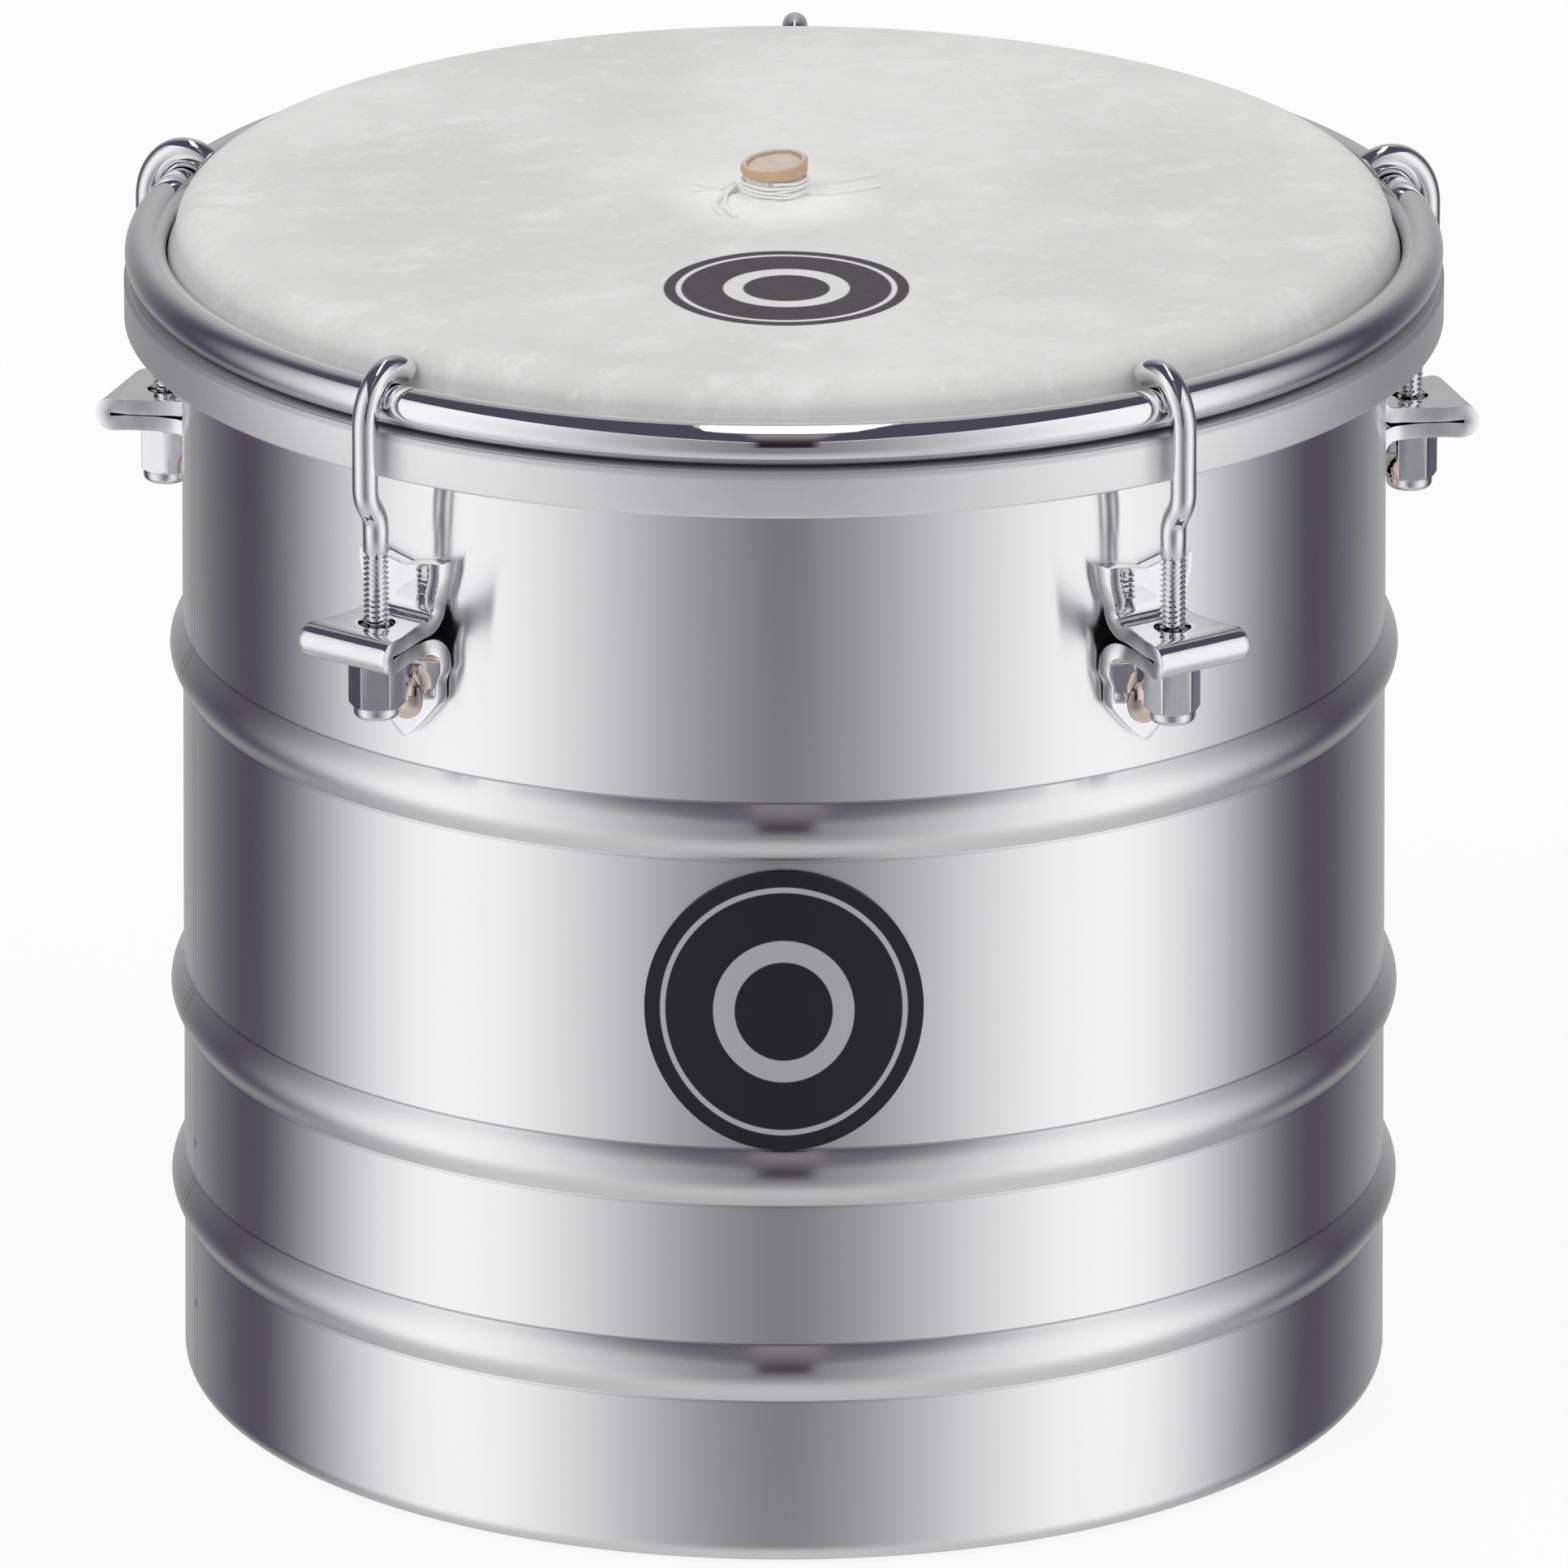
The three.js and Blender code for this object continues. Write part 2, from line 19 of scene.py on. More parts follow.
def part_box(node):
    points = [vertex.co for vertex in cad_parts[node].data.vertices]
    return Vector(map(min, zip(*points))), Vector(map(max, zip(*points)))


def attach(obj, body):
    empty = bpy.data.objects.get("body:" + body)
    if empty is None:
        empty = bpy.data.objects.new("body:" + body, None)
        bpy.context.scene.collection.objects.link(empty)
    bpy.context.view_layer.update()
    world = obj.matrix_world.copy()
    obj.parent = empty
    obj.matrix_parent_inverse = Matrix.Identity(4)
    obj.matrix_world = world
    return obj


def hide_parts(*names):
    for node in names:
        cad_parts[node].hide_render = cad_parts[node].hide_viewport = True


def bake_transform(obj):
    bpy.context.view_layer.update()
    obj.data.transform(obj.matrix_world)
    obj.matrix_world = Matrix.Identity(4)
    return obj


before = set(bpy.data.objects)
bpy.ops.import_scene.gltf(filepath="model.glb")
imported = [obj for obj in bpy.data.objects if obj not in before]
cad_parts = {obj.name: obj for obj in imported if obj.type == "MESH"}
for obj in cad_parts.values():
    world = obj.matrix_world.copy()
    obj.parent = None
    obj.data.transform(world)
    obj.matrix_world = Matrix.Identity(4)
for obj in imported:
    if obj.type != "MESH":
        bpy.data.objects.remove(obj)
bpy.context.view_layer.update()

# %% [markdown]
# ## Places that the frame gives
#
# The shell's axis isn't the origin, because the back lug reaches further out than the front of the
# hoops. It could be typed in, but the rod hoop's box gives it, so the scene follows the model.

# %% Places read from the frame
MM = 0.001
LUGS = 5
UP = Vector((0, 0, 1))

hoop_low, hoop_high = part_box("counter_hoop")
AXIS = Vector((0, (hoop_low.y + hoop_high.y) / 2, 0))
HOOP_HEIGHT = (hoop_low.z + hoop_high.z) / 2
HOOP_ROD = (hoop_high.z - hoop_low.z) / 2
HOOP_RADIUS = (hoop_high.x - hoop_low.x) / 2 - HOOP_ROD
SHELL_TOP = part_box("shell")[1].z
BAND_LOW, BAND_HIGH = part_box("flesh_hoop")
BAND_RADIUS = (BAND_HIGH.x - BAND_LOW.x) / 2
SKIN_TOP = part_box("skin")[1].z
NUT_LOW, NUT_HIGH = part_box("tension_nut_1")
NUT_RADIUS = (NUT_LOW.y + NUT_HIGH.y) / 2 - AXIS.y
lug_turns = [radians(90 + 360 * i / LUGS) for i in range(LUGS)]
print("axis at y", round(AXIS.y / MM, 2), "mm, hoop radius", round(HOOP_RADIUS / MM, 2), "mm")

# %% [markdown]
# ## Shader maths as Python
#
# A pattern is arithmetic on places: how far from the middle, how far round. Typed as nodes, that
# is long and hard to read. One small class stands for a socket instead, and its operators add the
# Math nodes, so a pattern reads as a formula.

# %% A socket that can be added and multiplied
def operator(operation, swapped=False):
    """A method of Value that adds one Math node. Swapped puts the value itself last."""
    def method(self, *others):
        values = (*others, self) if swapped else (self, *others)
        inputs = dict(enumerate(values))
        return self.paint.node("ShaderNodeMath", {"operation": operation}, inputs)
    return method


class Value:
    """One output socket of a node. Arithmetic on it adds Math nodes to the same tree."""

    def __init__(self, paint, socket):
        self.paint = paint
        self.socket = socket

    __add__ = operator("ADD")
    __radd__ = operator("ADD", swapped=True)
    __sub__ = operator("SUBTRACT")
    __rsub__ = operator("SUBTRACT", swapped=True)
    __mul__ = operator("MULTIPLY")
    __truediv__ = operator("DIVIDE")
    __pow__ = operator("POWER")
    __abs__ = operator("ABSOLUTE")
    angle_from = operator("ARCTAN2")

    def __neg__(self):
        return self * -1

    def rise(self, low, high):
        """0 below low, 1 above high, and smooth between them."""
        return self.paint.node(
            "ShaderNodeMapRange", {"interpolation_type": "SMOOTHSTEP"},
            {"Value": self, "From Min": low, "From Max": high},
        )

    def fall(self, low, high):
        return 1 - self.rise(low, high)


# %% A node tree with one way to add any node
class Paint:
    """The node tree of a material or the world."""

    def __init__(self, owner):
        owner.use_nodes = True
        self.tree = owner.node_tree
        self.tree.nodes.clear()

    def node(self, kind, settings=None, inputs=None, output=0):
        made = self.tree.nodes.new(kind)
        for name, value in (settings or {}).items():
            if name == "stops":
                self.set_stops(made.color_ramp, value)
            else:
                setattr(made, name, value)
        for key, value in (inputs or {}).items():
            if isinstance(value, Value):
                self.tree.links.new(value.socket, made.inputs[key])
            else:
                made.inputs[key].default_value = value
        return Value(self, made.outputs[output]) if len(made.outputs) else made

    def set_stops(self, ramp, stops):
        ramp.interpolation = "EASE"
        while len(ramp.elements) < len(stops):
            ramp.elements.new(1)
        for element, (position, colour) in zip(ramp.elements, stops):
            element.position = position
            element.color = colour

    def place(self):
        return self.node("ShaderNodeTexCoord", output="Object")

    def parts(self, vector):
        x = self.node("ShaderNodeSeparateXYZ", inputs={0: vector})
        return [Value(self, socket) for socket in x.socket.node.outputs]

    def joined(self, x, y, z):
        return self.node("ShaderNodeCombineXYZ", inputs={0: x, 1: y, 2: z})

    def mix(self, factor, first, second):
        inputs = {0: factor, 6: first, 7: second}
        return self.node("ShaderNodeMix", {"data_type": "RGBA"}, inputs, 2)

    def cloud(self, vector, scale, detail=3.0, roughness=0.5):
        return self.node(
            "ShaderNodeTexNoise", None,
            {"Vector": vector, "Scale": scale, "Detail": detail, "Roughness": roughness},
        )

    def bump(self, height, depth, strength=1.0):
        inputs = {"Height": height, "Distance": depth, "Strength": strength}
        return self.node("ShaderNodeBump", None, inputs)

    def ray(self, kind):
        return self.node("ShaderNodeLightPath", output=kind)


def grey(level):
    return (level, level, level, 1)


def from_line(x, y, middle):
    """How far a place is from the upright line through another."""
    x = x - middle.x
    y = y - middle.y
    return (x * x + y * y) ** 0.5


def rings(out, edge):
    """The marking of badge and skin: a ring and a thin line round it, by share of the radius."""
    places = [(0.43, 0.07), (0.87, 0.012)]
    ring, line = [abs(out - middle).fall(half, half + edge) for middle, half in places]
    return ring + line


def finish(name, inputs, paint):
    """Ends a material with one Principled shader that has these inputs."""
    shader = paint.node("ShaderNodeBsdfPrincipled", None, inputs)
    paint.node("ShaderNodeOutputMaterial", None, {"Surface": shader})
    print("finish", name, len(paint.tree.nodes), "nodes")


def material(name):
    made = bpy.data.materials.new(name)
    return made, Paint(made)


def add_object(name, data):
    """An object with this data, linked to the scene."""
    made = bpy.data.objects.new(name, data)
    bpy.context.scene.collection.objects.link(made)
    return made


def as_mesh(name, bm):
    """A mesh of a bmesh, which is freed."""
    mesh = bpy.data.meshes.new(name)
    bm.to_mesh(mesh)
    bm.free()
    return mesh


# %% [markdown]
# ## The camera
#
# The photograph looks down on the drum from a long way off through a long lens, so the shell's
# sides stay upright. The camera stands where its view gives that, and its shift stays at zero.

# %% Camera
camera_rise = radians(19.035)
camera_turn = radians(1.0)
camera_distance = 3995 * MM
camera_lens = 471.4
target = AXIS + Vector((0, 0, 117.5 * MM))

away = Vector((
    sin(camera_turn) * cos(camera_rise),
    -cos(camera_turn) * cos(camera_rise),
    sin(camera_rise),
))
camera = add_object("camera", bpy.data.cameras.new("camera"))
camera.data.lens = camera_lens
camera.data.sensor_width = 36
camera.data.clip_start = 0.1
camera.data.clip_end = 200
camera.location = target + away * camera_distance
camera.rotation_euler = away.to_track_quat("Z", "Y").to_euler()
bpy.context.scene.camera = camera
bpy.context.scene.view_settings.view_transform = "Standard"

# %% [markdown]
# ## The studio that the metal mirrors
#
# Bright metal has hardly any colour of its own: it shows the room. The drum stood between two
# large soft boxes, one at each side of the camera, with a dim gap at the camera and dark gaps
# behind the boxes, over a grey floor and under a dark ceiling with one strip light. The wall above
# the camera is bright just below the ceiling, and a dark stand in the middle of the front is what
# the middle of every bright curve shows.
#
# The world holds that room as a pattern of directions. The floor and the background are plain
# and pale for the camera, and soft lamps light what isn't metal.

# %% World
box_azimuth = 66 / 180
gap_azimuth = 122 / 180
gap_colour = (0.078, 0.072, 0.1, 1)
camera_gap_colour = (0.225, 0.22, 0.238, 1)
box_colour = grey(0.99)
back_colour = grey(0.46)
ceiling_colour = (0.075, 0.068, 0.095, 1)
stand_low = (0.02, 0.018, 0.025, 1)
stand_high = (0.3, 0.275, 0.29, 1)
floor_colour = grey(0.56)
strip_colour = grey(1.15)
glint_colour = grey(1.0)
glint_share = 0.8
ceiling_slope = 2.29
ceiling_corner = 2.5
stand_place = 0.02
strip_place = 0.3
strip_width = 0.122
strip_length = 0.62
strip_taper = 0.065
plain_light = grey(0.66)
background_level = grey(0.955)

world = bpy.data.worlds.new("studio")
bpy.context.scene.world = world
paint = Paint(world)
x, y, z = paint.parts(paint.node("ShaderNodeTexCoord", output="Generated"))
azimuth = abs(x.angle_from(-y)) / pi
wall_stops = [
    (0, camera_gap_colour), (box_azimuth, box_colour), (gap_azimuth, gap_colour), (1, back_colour),
]
walls = paint.node("ShaderNodeValToRGB", {"stops": wall_stops}, {0: azimuth})
across = x / z
along = y / z
edge = y + z * ceiling_slope - abs(x) * ceiling_corner
glint = edge.rise(-0.42, -0.2) * abs(x).fall(0.3, 0.5) * (-y).rise(0.05, 0.25)
room = paint.mix(glint * glint_share, walls, glint_colour)
ceiling = edge.rise(-0.22, -0.15) * along.fall(0.55, 0.7) * z.rise(0.3, 0.4)
room = paint.mix(ceiling, room, ceiling_colour)
stand = abs(x - stand_place).fall(0.07, 0.11) * (-y).rise(0, 0.1)
stand = stand * z.rise(-0.2, 0.04) * z.fall(0.9, 0.95)
room = paint.mix(stand, room, paint.mix(z.rise(-0.1, 0.95) ** 4, stand_low, stand_high))
wide = (abs(across) + along * strip_taper) / strip_width
long = abs(along - strip_place) / strip_length
strip = (wide * wide + long ** 8).fall(0.93, 1.07) * z.rise(0.28, 0.32)
room = paint.mix(strip, room, strip_colour)
room = paint.mix((-z).rise(0.45, 0.93), room, floor_colour)
light = paint.mix(paint.ray("Is Glossy Ray"), plain_light, room)
seen = paint.ray("Is Camera Ray") + paint.ray("Is Transmission Ray")
shown = paint.mix(seen, light, background_level)
sky = paint.node("ShaderNodeBackground", None, {"Color": shown, "Strength": 1.0})
paint.node("ShaderNodeOutputWorld", None, {"Surface": sky})

# %% Lamps
def lamp(name, place, size, power):
    made = bpy.data.lights.new(name, "AREA")
    made.size = size
    made.energy = power
    obj = add_object(name, made)
    obj.location = place
    obj.rotation_euler = (Vector(place) - target).to_track_quat("Z", "Y").to_euler()
    obj.visible_camera = False
    obj.visible_glossy = False


lamp("key", (-1.4, -1.3, 1.9), 1.2, 16)
lamp("fill", (1.5, -1.0, 1.4), 1.4, 7)
lamp("rim", (0.2, 1.6, 1.8), 1.0, 6)

# %% Floor
floor_size = 30
floor_glow = 0.86

bm = bmesh.new()
bmesh.ops.create_grid(bm, x_segments=1, y_segments=1, size=floor_size)
floor = add_object("floor", as_mesh("floor", bm))
floor.visible_glossy = False
floor_paper, paint = material("floor_paper")
paper = paint.node("ShaderNodeBsdfDiffuse", None, {"Color": grey(0.92)})
glow = paint.node("ShaderNodeEmission", None, {"Color": grey(1.0), "Strength": 1.0})
seen = (paint.ray("Is Camera Ray") + paint.ray("Is Transmission Ray")) * floor_glow
surface = paint.node("ShaderNodeMixShader", None, {0: seen, 1: paper, 2: glow})
paint.node("ShaderNodeOutputMaterial", None, {"Surface": surface})
floor.data.materials.append(floor_paper)

# %% [markdown]
# ## Helpers for turned and bent metal
#
# Nearly every piece here is turned round an axis, bent from rod or folded from strip. A turned
# piece starts as an outline of a few points that bmesh spins. Thin sheet is drawn as one surface
# and given its wall by solidify, as a press would leave it.

# %% Outlines
def arc(centre, radius, start, end, steps):
    """Points of an arc in a drawing, from one angle to another in degrees."""
    angles = [radians(start + (end - start) * i / steps) for i in range(steps + 1)]
    return [(centre[0] + radius * cos(a), centre[1] + radius * sin(a)) for a in angles]


def smooth(value, low, high):
    """0 below low, 1 above high, and smooth between them."""
    share = min(max((value - low) / (high - low), 0), 1)
    return share * share * (3 - 2 * share)


def turned(outline, steps, closed=False):
    """Spins an outline of (radius, height) points round Z into a bmesh."""
    bm = bmesh.new()
    corners = [bm.verts.new((radius, 0, height)) for radius, height in outline]
    sides = [bm.edges.new(pair) for pair in zip(corners, corners[1:])]
    if closed:
        sides.append(bm.edges.new((corners[-1], corners[0])))
    bmesh.ops.spin(
        bm, geom=corners + sides, cent=(0, 0, 0), axis=(0, 0, 1), dvec=(0, 0, 0),
        angle=2 * pi, steps=steps, use_merge=True,
    )
    tidy(bm)
    return bm


def tidy(bm):
    """Merges doubles, drops faces without area and turns the rest outwards."""
    nearly_nothing = 0.001 * MM
    bmesh.ops.remove_doubles(bm, verts=bm.verts, dist=nearly_nothing)
    bmesh.ops.dissolve_degenerate(bm, edges=bm.edges, dist=nearly_nothing)
    bmesh.ops.recalc_face_normals(bm, faces=bm.faces)
    turn_out(bm)


def turn_out(bm):
    """Turns a closed piece's faces over if they look inwards, by the sign of its volume."""
    if bm.calc_volume(signed=True) < 0:
        bmesh.ops.reverse_faces(bm, faces=bm.faces)


def thicken(bm, thickness, outward):
    """Gives a sheet its wall. The faces first turn to the side that outward gives for a place."""
    if sum(face.normal.dot(outward(face.calc_center_median())) for face in bm.faces) < 0:
        bmesh.ops.reverse_faces(bm, faces=bm.faces)
    bmesh.ops.solidify(bm, geom=bm.faces, thickness=thickness)
    turn_out(bm)


def soften(bm, width, angle=40):
    """Bevels the edges that are sharper than an angle, as tumbling or plating would."""
    sharp = [e for e in bm.edges if e.is_manifold and e.calc_face_angle() > radians(angle)]
    bmesh.ops.bevel(
        bm, geom=sharp, offset=width, offset_type="OFFSET", affect="EDGES",
        segments=2, profile=0.5, material=-1, clamp_overlap=True,
    )


def add_part(bm, part):
    """Adds the faces of a second bmesh to the first, and frees the second."""
    mesh = as_mesh("part", part)
    bm.from_mesh(mesh)
    bpy.data.meshes.remove(mesh)


# %% From a bmesh to a piece of the drum
def to_place(bm, turn=0.0):
    """Moves a piece that was made round the origin to the shell's axis, turned to its lug."""
    placed = Matrix.Translation(AXIS) @ Matrix.Rotation(turn, 4, "Z")
    bmesh.ops.transform(bm, matrix=placed, verts=bm.verts)


def make(name, bm, surface, replaced, body, crease=30):
    """Makes the object of a bmesh, smooth except at edges past crease degrees."""
    for face in bm.faces:
        face.smooth = True
    for edge in bm.edges:
        edge.smooth = not edge.is_manifold or edge.calc_face_angle() < radians(crease)
    mesh = as_mesh(name, bm)
    mesh.materials.append(surface)
    obj = add_object(name, mesh)
    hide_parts(*replaced)
    if body:
        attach(obj, body)
    print(name, len(mesh.polygons), "faces")
    return obj


def settled(obj, *helpers):
    """The bmesh of an object after its modifiers. The object and its helpers are removed."""
    evaluated = obj.evaluated_get(bpy.context.evaluated_depsgraph_get())
    bm = bmesh.new()
    bm.from_mesh(evaluated.to_mesh())
    for used in (obj, *helpers):
        bpy.data.objects.remove(used)
    tidy(bm)
    return bm


def combined(first, second, operation):
    """Cuts or joins two closed bmeshes with a Boolean modifier, and returns the result."""
    body, tool = [add_object("cutting", as_mesh("cutting", bm)) for bm in (first, second)]
    cut = body.modifiers.new("cut", "BOOLEAN")
    cut.operation = operation
    cut.solver = "EXACT"
    cut.object = tool
    return settled(body, tool)


def rod(points, radius, sides, shares=None):
    """A round rod along points, with closed ends. Shares of the radius taper it point by point."""
    curve = bpy.data.curves.new("rod", "CURVE")
    curve.dimensions = "3D"
    curve.bevel_depth = radius
    curve.bevel_resolution = sides // 2 - 2
    curve.use_fill_caps = True
    spline = curve.splines.new("POLY")
    spline.points.add(len(points) - 1)
    for i, (spot, point) in enumerate(zip(spline.points, points)):
        spot.co = (*point, 1)
        spot.radius = shares[i] if shares else 1
    return settled(add_object("rod", curve))


def bent(corners, steps):
    """Points of a cubic curve with four control points in a drawing."""
    path = []
    for i in range(steps + 1):
        t = i / steps
        shares = ((1 - t) ** 3, 3 * t * (1 - t) ** 2, 3 * t * t * (1 - t), t ** 3)
        path.append([sum(c[k] * share for c, share in zip(corners, shares)) for k in (0, 1)])
    return path


# %% [markdown]
# ## Metal finishes
#
# The shell is rolled sheet that was polished round the drum. Such fine lines spread a reflection
# upright but keep it narrow sideways, so the shader is anisotropic with its grain turned a
# quarter. The lines themselves are a bump and a small change of roughness. Chrome is close to a
# mirror, with a faint haze and a slight unevenness where the steel below wasn't flat.

# %% Rolled and polished aluminium
def around(paint):
    """The shell's own coordinates: distance from the axis, angle round it from +X, and height."""
    x, y, z = paint.parts(paint.place())
    return from_line(x, y, AXIS), (y - AXIS.y).angle_from(x), z


seam_turn = radians(-166.6)
seam_width = 0.021
seam_edge = 0.0022
dimple_heights = [19.3 * MM, 52.3 * MM]
dimple_radius = 1.1 * MM
bead_heights = [39.2 * MM, 78.74 * MM, 148 * MM]
bead_half = 5.6 * MM
bead_root = 0.6 * MM
# Painted shade: dark lines along the creases at the edges of each bead, where the tight corners
# hold shade. The upper ones are darker.
crease_at = bead_half + bead_root * 0.5
crease_shade_lines = [(crease_at, 0.1 * MM, 0.34 * MM, 0.6), (-crease_at, 0.08 * MM, 0.3 * MM, 0.2)]
lathe_lines = 2600
lathe_depth = 0.004 * MM
shell_tones = (0.9, 0.9, 0.91, 1), (0.94, 0.94, 0.945, 1)
mark_tone = (0.3, 0.29, 0.33, 1)
crease_shade_tone = (0.14, 0.13, 0.16, 1)
band_tones = (0.93, 0.93, 0.935, 1), (0.97, 0.97, 0.975, 1)
band_top_shade_tone = (0.6, 0.6, 0.62, 1)

shell_metal, paint = material("polished_shell")
distance, turn, height = around(paint)
lines = paint.cloud(paint.joined(turn * 0.35, 0, height), lathe_lines, 2.0, 0.7)
haze = paint.cloud(paint.joined(turn * 0.1, 0, height), 14, 3.0)
seam = abs(turn - seam_turn)
seam_line = abs(seam - seam_width / 2).fall(seam_edge * 0.4, seam_edge)
along = (turn - seam_turn) * distance
dimple = 0
for dimple_height in dimple_heights:
    apart = height - dimple_height
    near = (along * along + apart * apart).fall(dimple_radius ** 2 * 0.1, dimple_radius ** 2)
    dimple = near + dimple
wander = haze * 0.2 * MM
# The crease lines below are painted shade, with a slight wander.
crease = 0
crown = 0
for bead_height in bead_heights:
    for above, inner, outer, share in crease_shade_lines:
        line = abs(height + wander - bead_height - above).fall(inner, outer)
        crease = line * share + crease
    crown = abs(height - bead_height).fall(bead_half * 0.8, bead_half) + crown
tone = paint.mix(haze, *shell_tones)
tone = paint.mix(seam_line * 0.8 + dimple * 0.8, tone, mark_tone)
finish("shell", {
    "Base Color": paint.mix(crease, tone, crease_shade_tone),
    "Metallic": 1.0,
    "Roughness": 0.15 + lines * 0.02 + haze * 0.02 + crown * 0.03,
    "Anisotropic": 1.0,
    "Anisotropic Rotation": 0.25,
    "Normal": paint.bump(lines * 0.2 - seam_line * 2 - dimple * 60, lathe_depth),
}, paint)

band_metal, paint = material("rolled_band")
distance, turn, height = around(paint)
lines = paint.cloud(paint.joined(turn * 0.6, distance * 2, height), 1500, 2.0)
scuffs = paint.cloud(paint.joined(turn * 3, distance * 40, height * 12), 30, 4.0, 0.7)
tone = paint.mix(scuffs, *band_tones)
# Painted shade: the band's top, just under the rod hoop, is darkened.
band_top_shade = height.rise(221.2 * MM, 221.9 * MM) * 0.6
finish("band", {
    "Base Color": paint.mix(band_top_shade, tone, band_top_shade_tone),
    "Metallic": 0.92,
    "Roughness": 0.38 + lines * 0.08,
    "Normal": paint.bump(lines, 0.006 * MM),
}, paint)


# %% Chrome and nickel
def plated(name, tone, shade, roughness, ripple):
    """Plating over steel: two close tones, a faint haze and a slight ripple."""
    made, paint = material(name)
    place = paint.place()
    haze = paint.cloud(place, 220, 3.0)
    waves = paint.cloud(place, 420, 1.0)
    finish(name, {
        "Base Color": paint.mix(haze, tone, shade),
        "Metallic": 1.0,
        "Roughness": roughness + haze * 0.02,
        "Normal": paint.bump(waves, ripple),
    }, paint)
    return made


hoop_chrome = plated("hoop_chrome", (0.93, 0.93, 0.94, 1), (0.88, 0.88, 0.9, 1), 0.015, 0.006 * MM)
lug_chrome = plated("lug_chrome", (0.93, 0.93, 0.94, 1), (0.86, 0.86, 0.88, 1), 0.02, 0.03 * MM)
nut_chrome = plated("nut_chrome", (0.86, 0.86, 0.88, 1), (0.78, 0.78, 0.81, 1), 0.03, 0.02 * MM)
rivet_nickel = plated("rivet_nickel", (0.9, 0.8, 0.7, 1), (0.82, 0.7, 0.6, 1), 0.06, 0.02 * MM)

# %% [markdown]
# ## The shell
#
# The real shell is one tube of sheet, lapped and seamed at the side, with three beads rolled into
# it for stiffness, a curl at the foot and a lip turned in at the top, where the skin lies. A lathe
# outline gives all of that at once, and solidify gives the sheet its thickness.

# %% Shell
shell_radius = 117.5 * MM
shell_wall = 1.6 * MM
shell_draft = 1.4 * MM
shell_steps = 192
bead_proud = 2.5 * MM
rim_radius = 4.2 * MM
rim_flat = 1.6 * MM
rim_curl = 3 * MM
bearing_radius = 5.5 * MM
lip_turn = 135


def wall_at(height):
    """The wall's radius at a height, which the draft makes a little less at the top."""
    return shell_radius - shell_draft * height / SHELL_TOP


def bead(height):
    """A rolled bead: an arch that is steepest where it meets the wall, at a crease at each side."""
    wall = wall_at(height)
    foot = bead_half + bead_root
    shares = [i / 8 - 1 for i in range(17)]
    arch = [(wall + bead_proud * cos(pi / 2 * t), height + bead_half * t) for t in shares]
    return [(wall, height - foot), *arch, (wall, height + foot)]


foot_inner = shell_radius - rim_radius - rim_flat
top_centre = (wall_at(SHELL_TOP) - bearing_radius, SHELL_TOP - bearing_radius)
outline = [
    *arc((foot_inner, rim_curl), rim_curl, 170, 270, 8),
    *arc((shell_radius - rim_radius, rim_radius), rim_radius, 270, 360, 10),
    *[point for height in bead_heights for point in bead(height)],
    *arc(top_centre, bearing_radius, 0, lip_turn, 14),
]
bm = turned(outline, shell_steps)
thicken(bm, shell_wall, lambda place: Vector((place.x, place.y, 0)))
to_place(bm)
make("rolled_shell", bm, shell_metal, ["shell"], "drum", 28)

# %% [markdown]
# ## The badge
#
# A thin foil disc is glued to the front between the upper beads, and its face carries two plain
# rings. It starts as a flat disc of nested circles and is bent round the shell, so it lies on the
# wall everywhere.

# %% Badge
badge_low, badge_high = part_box("shell_badge")
badge_centre = (badge_low + badge_high) / 2
badge_width = badge_high.x - badge_low.x
badge_tall = badge_high.z - badge_low.z
badge_lift = 0.3 * MM
badge_thick = 0.45 * MM
badge_turn = camera_turn
badge_rings = (0.8, 0.6, 0.4, 0.2)
badge_hub = 0.1
foil_tone = (0.005, 0.004, 0.006, 1)
foil_print = (0.62, 0.62, 0.63, 1)

badge_foil, paint = material("badge_foil")
x, y, z = paint.parts(paint.place())
across = (x - badge_centre.x) / (badge_width / 2)
up = (z - badge_centre.z) / (badge_tall / 2)
printed = rings((across * across + up * up) ** 0.5, 0.012)
grain = paint.cloud(paint.place(), 900, 2.0)
finish("badge", {
    "Base Color": paint.mix(printed, foil_tone, foil_print),
    "Metallic": printed * 0.7,
    "Roughness": 0.42 + grain * 0.08,
}, paint)

bm = bmesh.new()
bmesh.ops.create_circle(bm, cap_ends=False, radius=1, segments=96)
inner = bmesh.ops.extrude_edge_only(bm, edges=bm.edges)["geom"]
ring = [v for v in inner if isinstance(v, bmesh.types.BMVert)]
for share in badge_rings:
    for vert in ring:
        vert.co = vert.co.normalized() * share
    rim = [e for e in bm.edges if e.is_boundary and e.verts[0] in ring]
    more = bmesh.ops.extrude_edge_only(bm, edges=rim)["geom"]
    ring = [v for v in more if isinstance(v, bmesh.types.BMVert)]
for vert in ring:
    vert.co = vert.co.normalized() * badge_hub
bmesh.ops.remove_doubles(bm, verts=bm.verts, dist=1e-5)
hub = [e for e in bm.edges if e.is_boundary and e.verts[0].co.length < 0.5]
bmesh.ops.contextual_create(bm, geom=hub)
for vert in bm.verts:
    height = badge_centre.z + vert.co.y * badge_tall / 2
    radius = wall_at(height) + badge_lift
    turn = asin(vert.co.x * badge_width / 2 / radius) + badge_turn - pi / 2
    vert.co = (radius * cos(turn), radius * sin(turn), height)
bmesh.ops.recalc_face_normals(bm, faces=bm.faces)
thicken(bm, -badge_thick, lambda place: Vector((0, -1, 0)))
to_place(bm)
make("badge_disc", bm, badge_foil, ["shell_badge"], "drum")

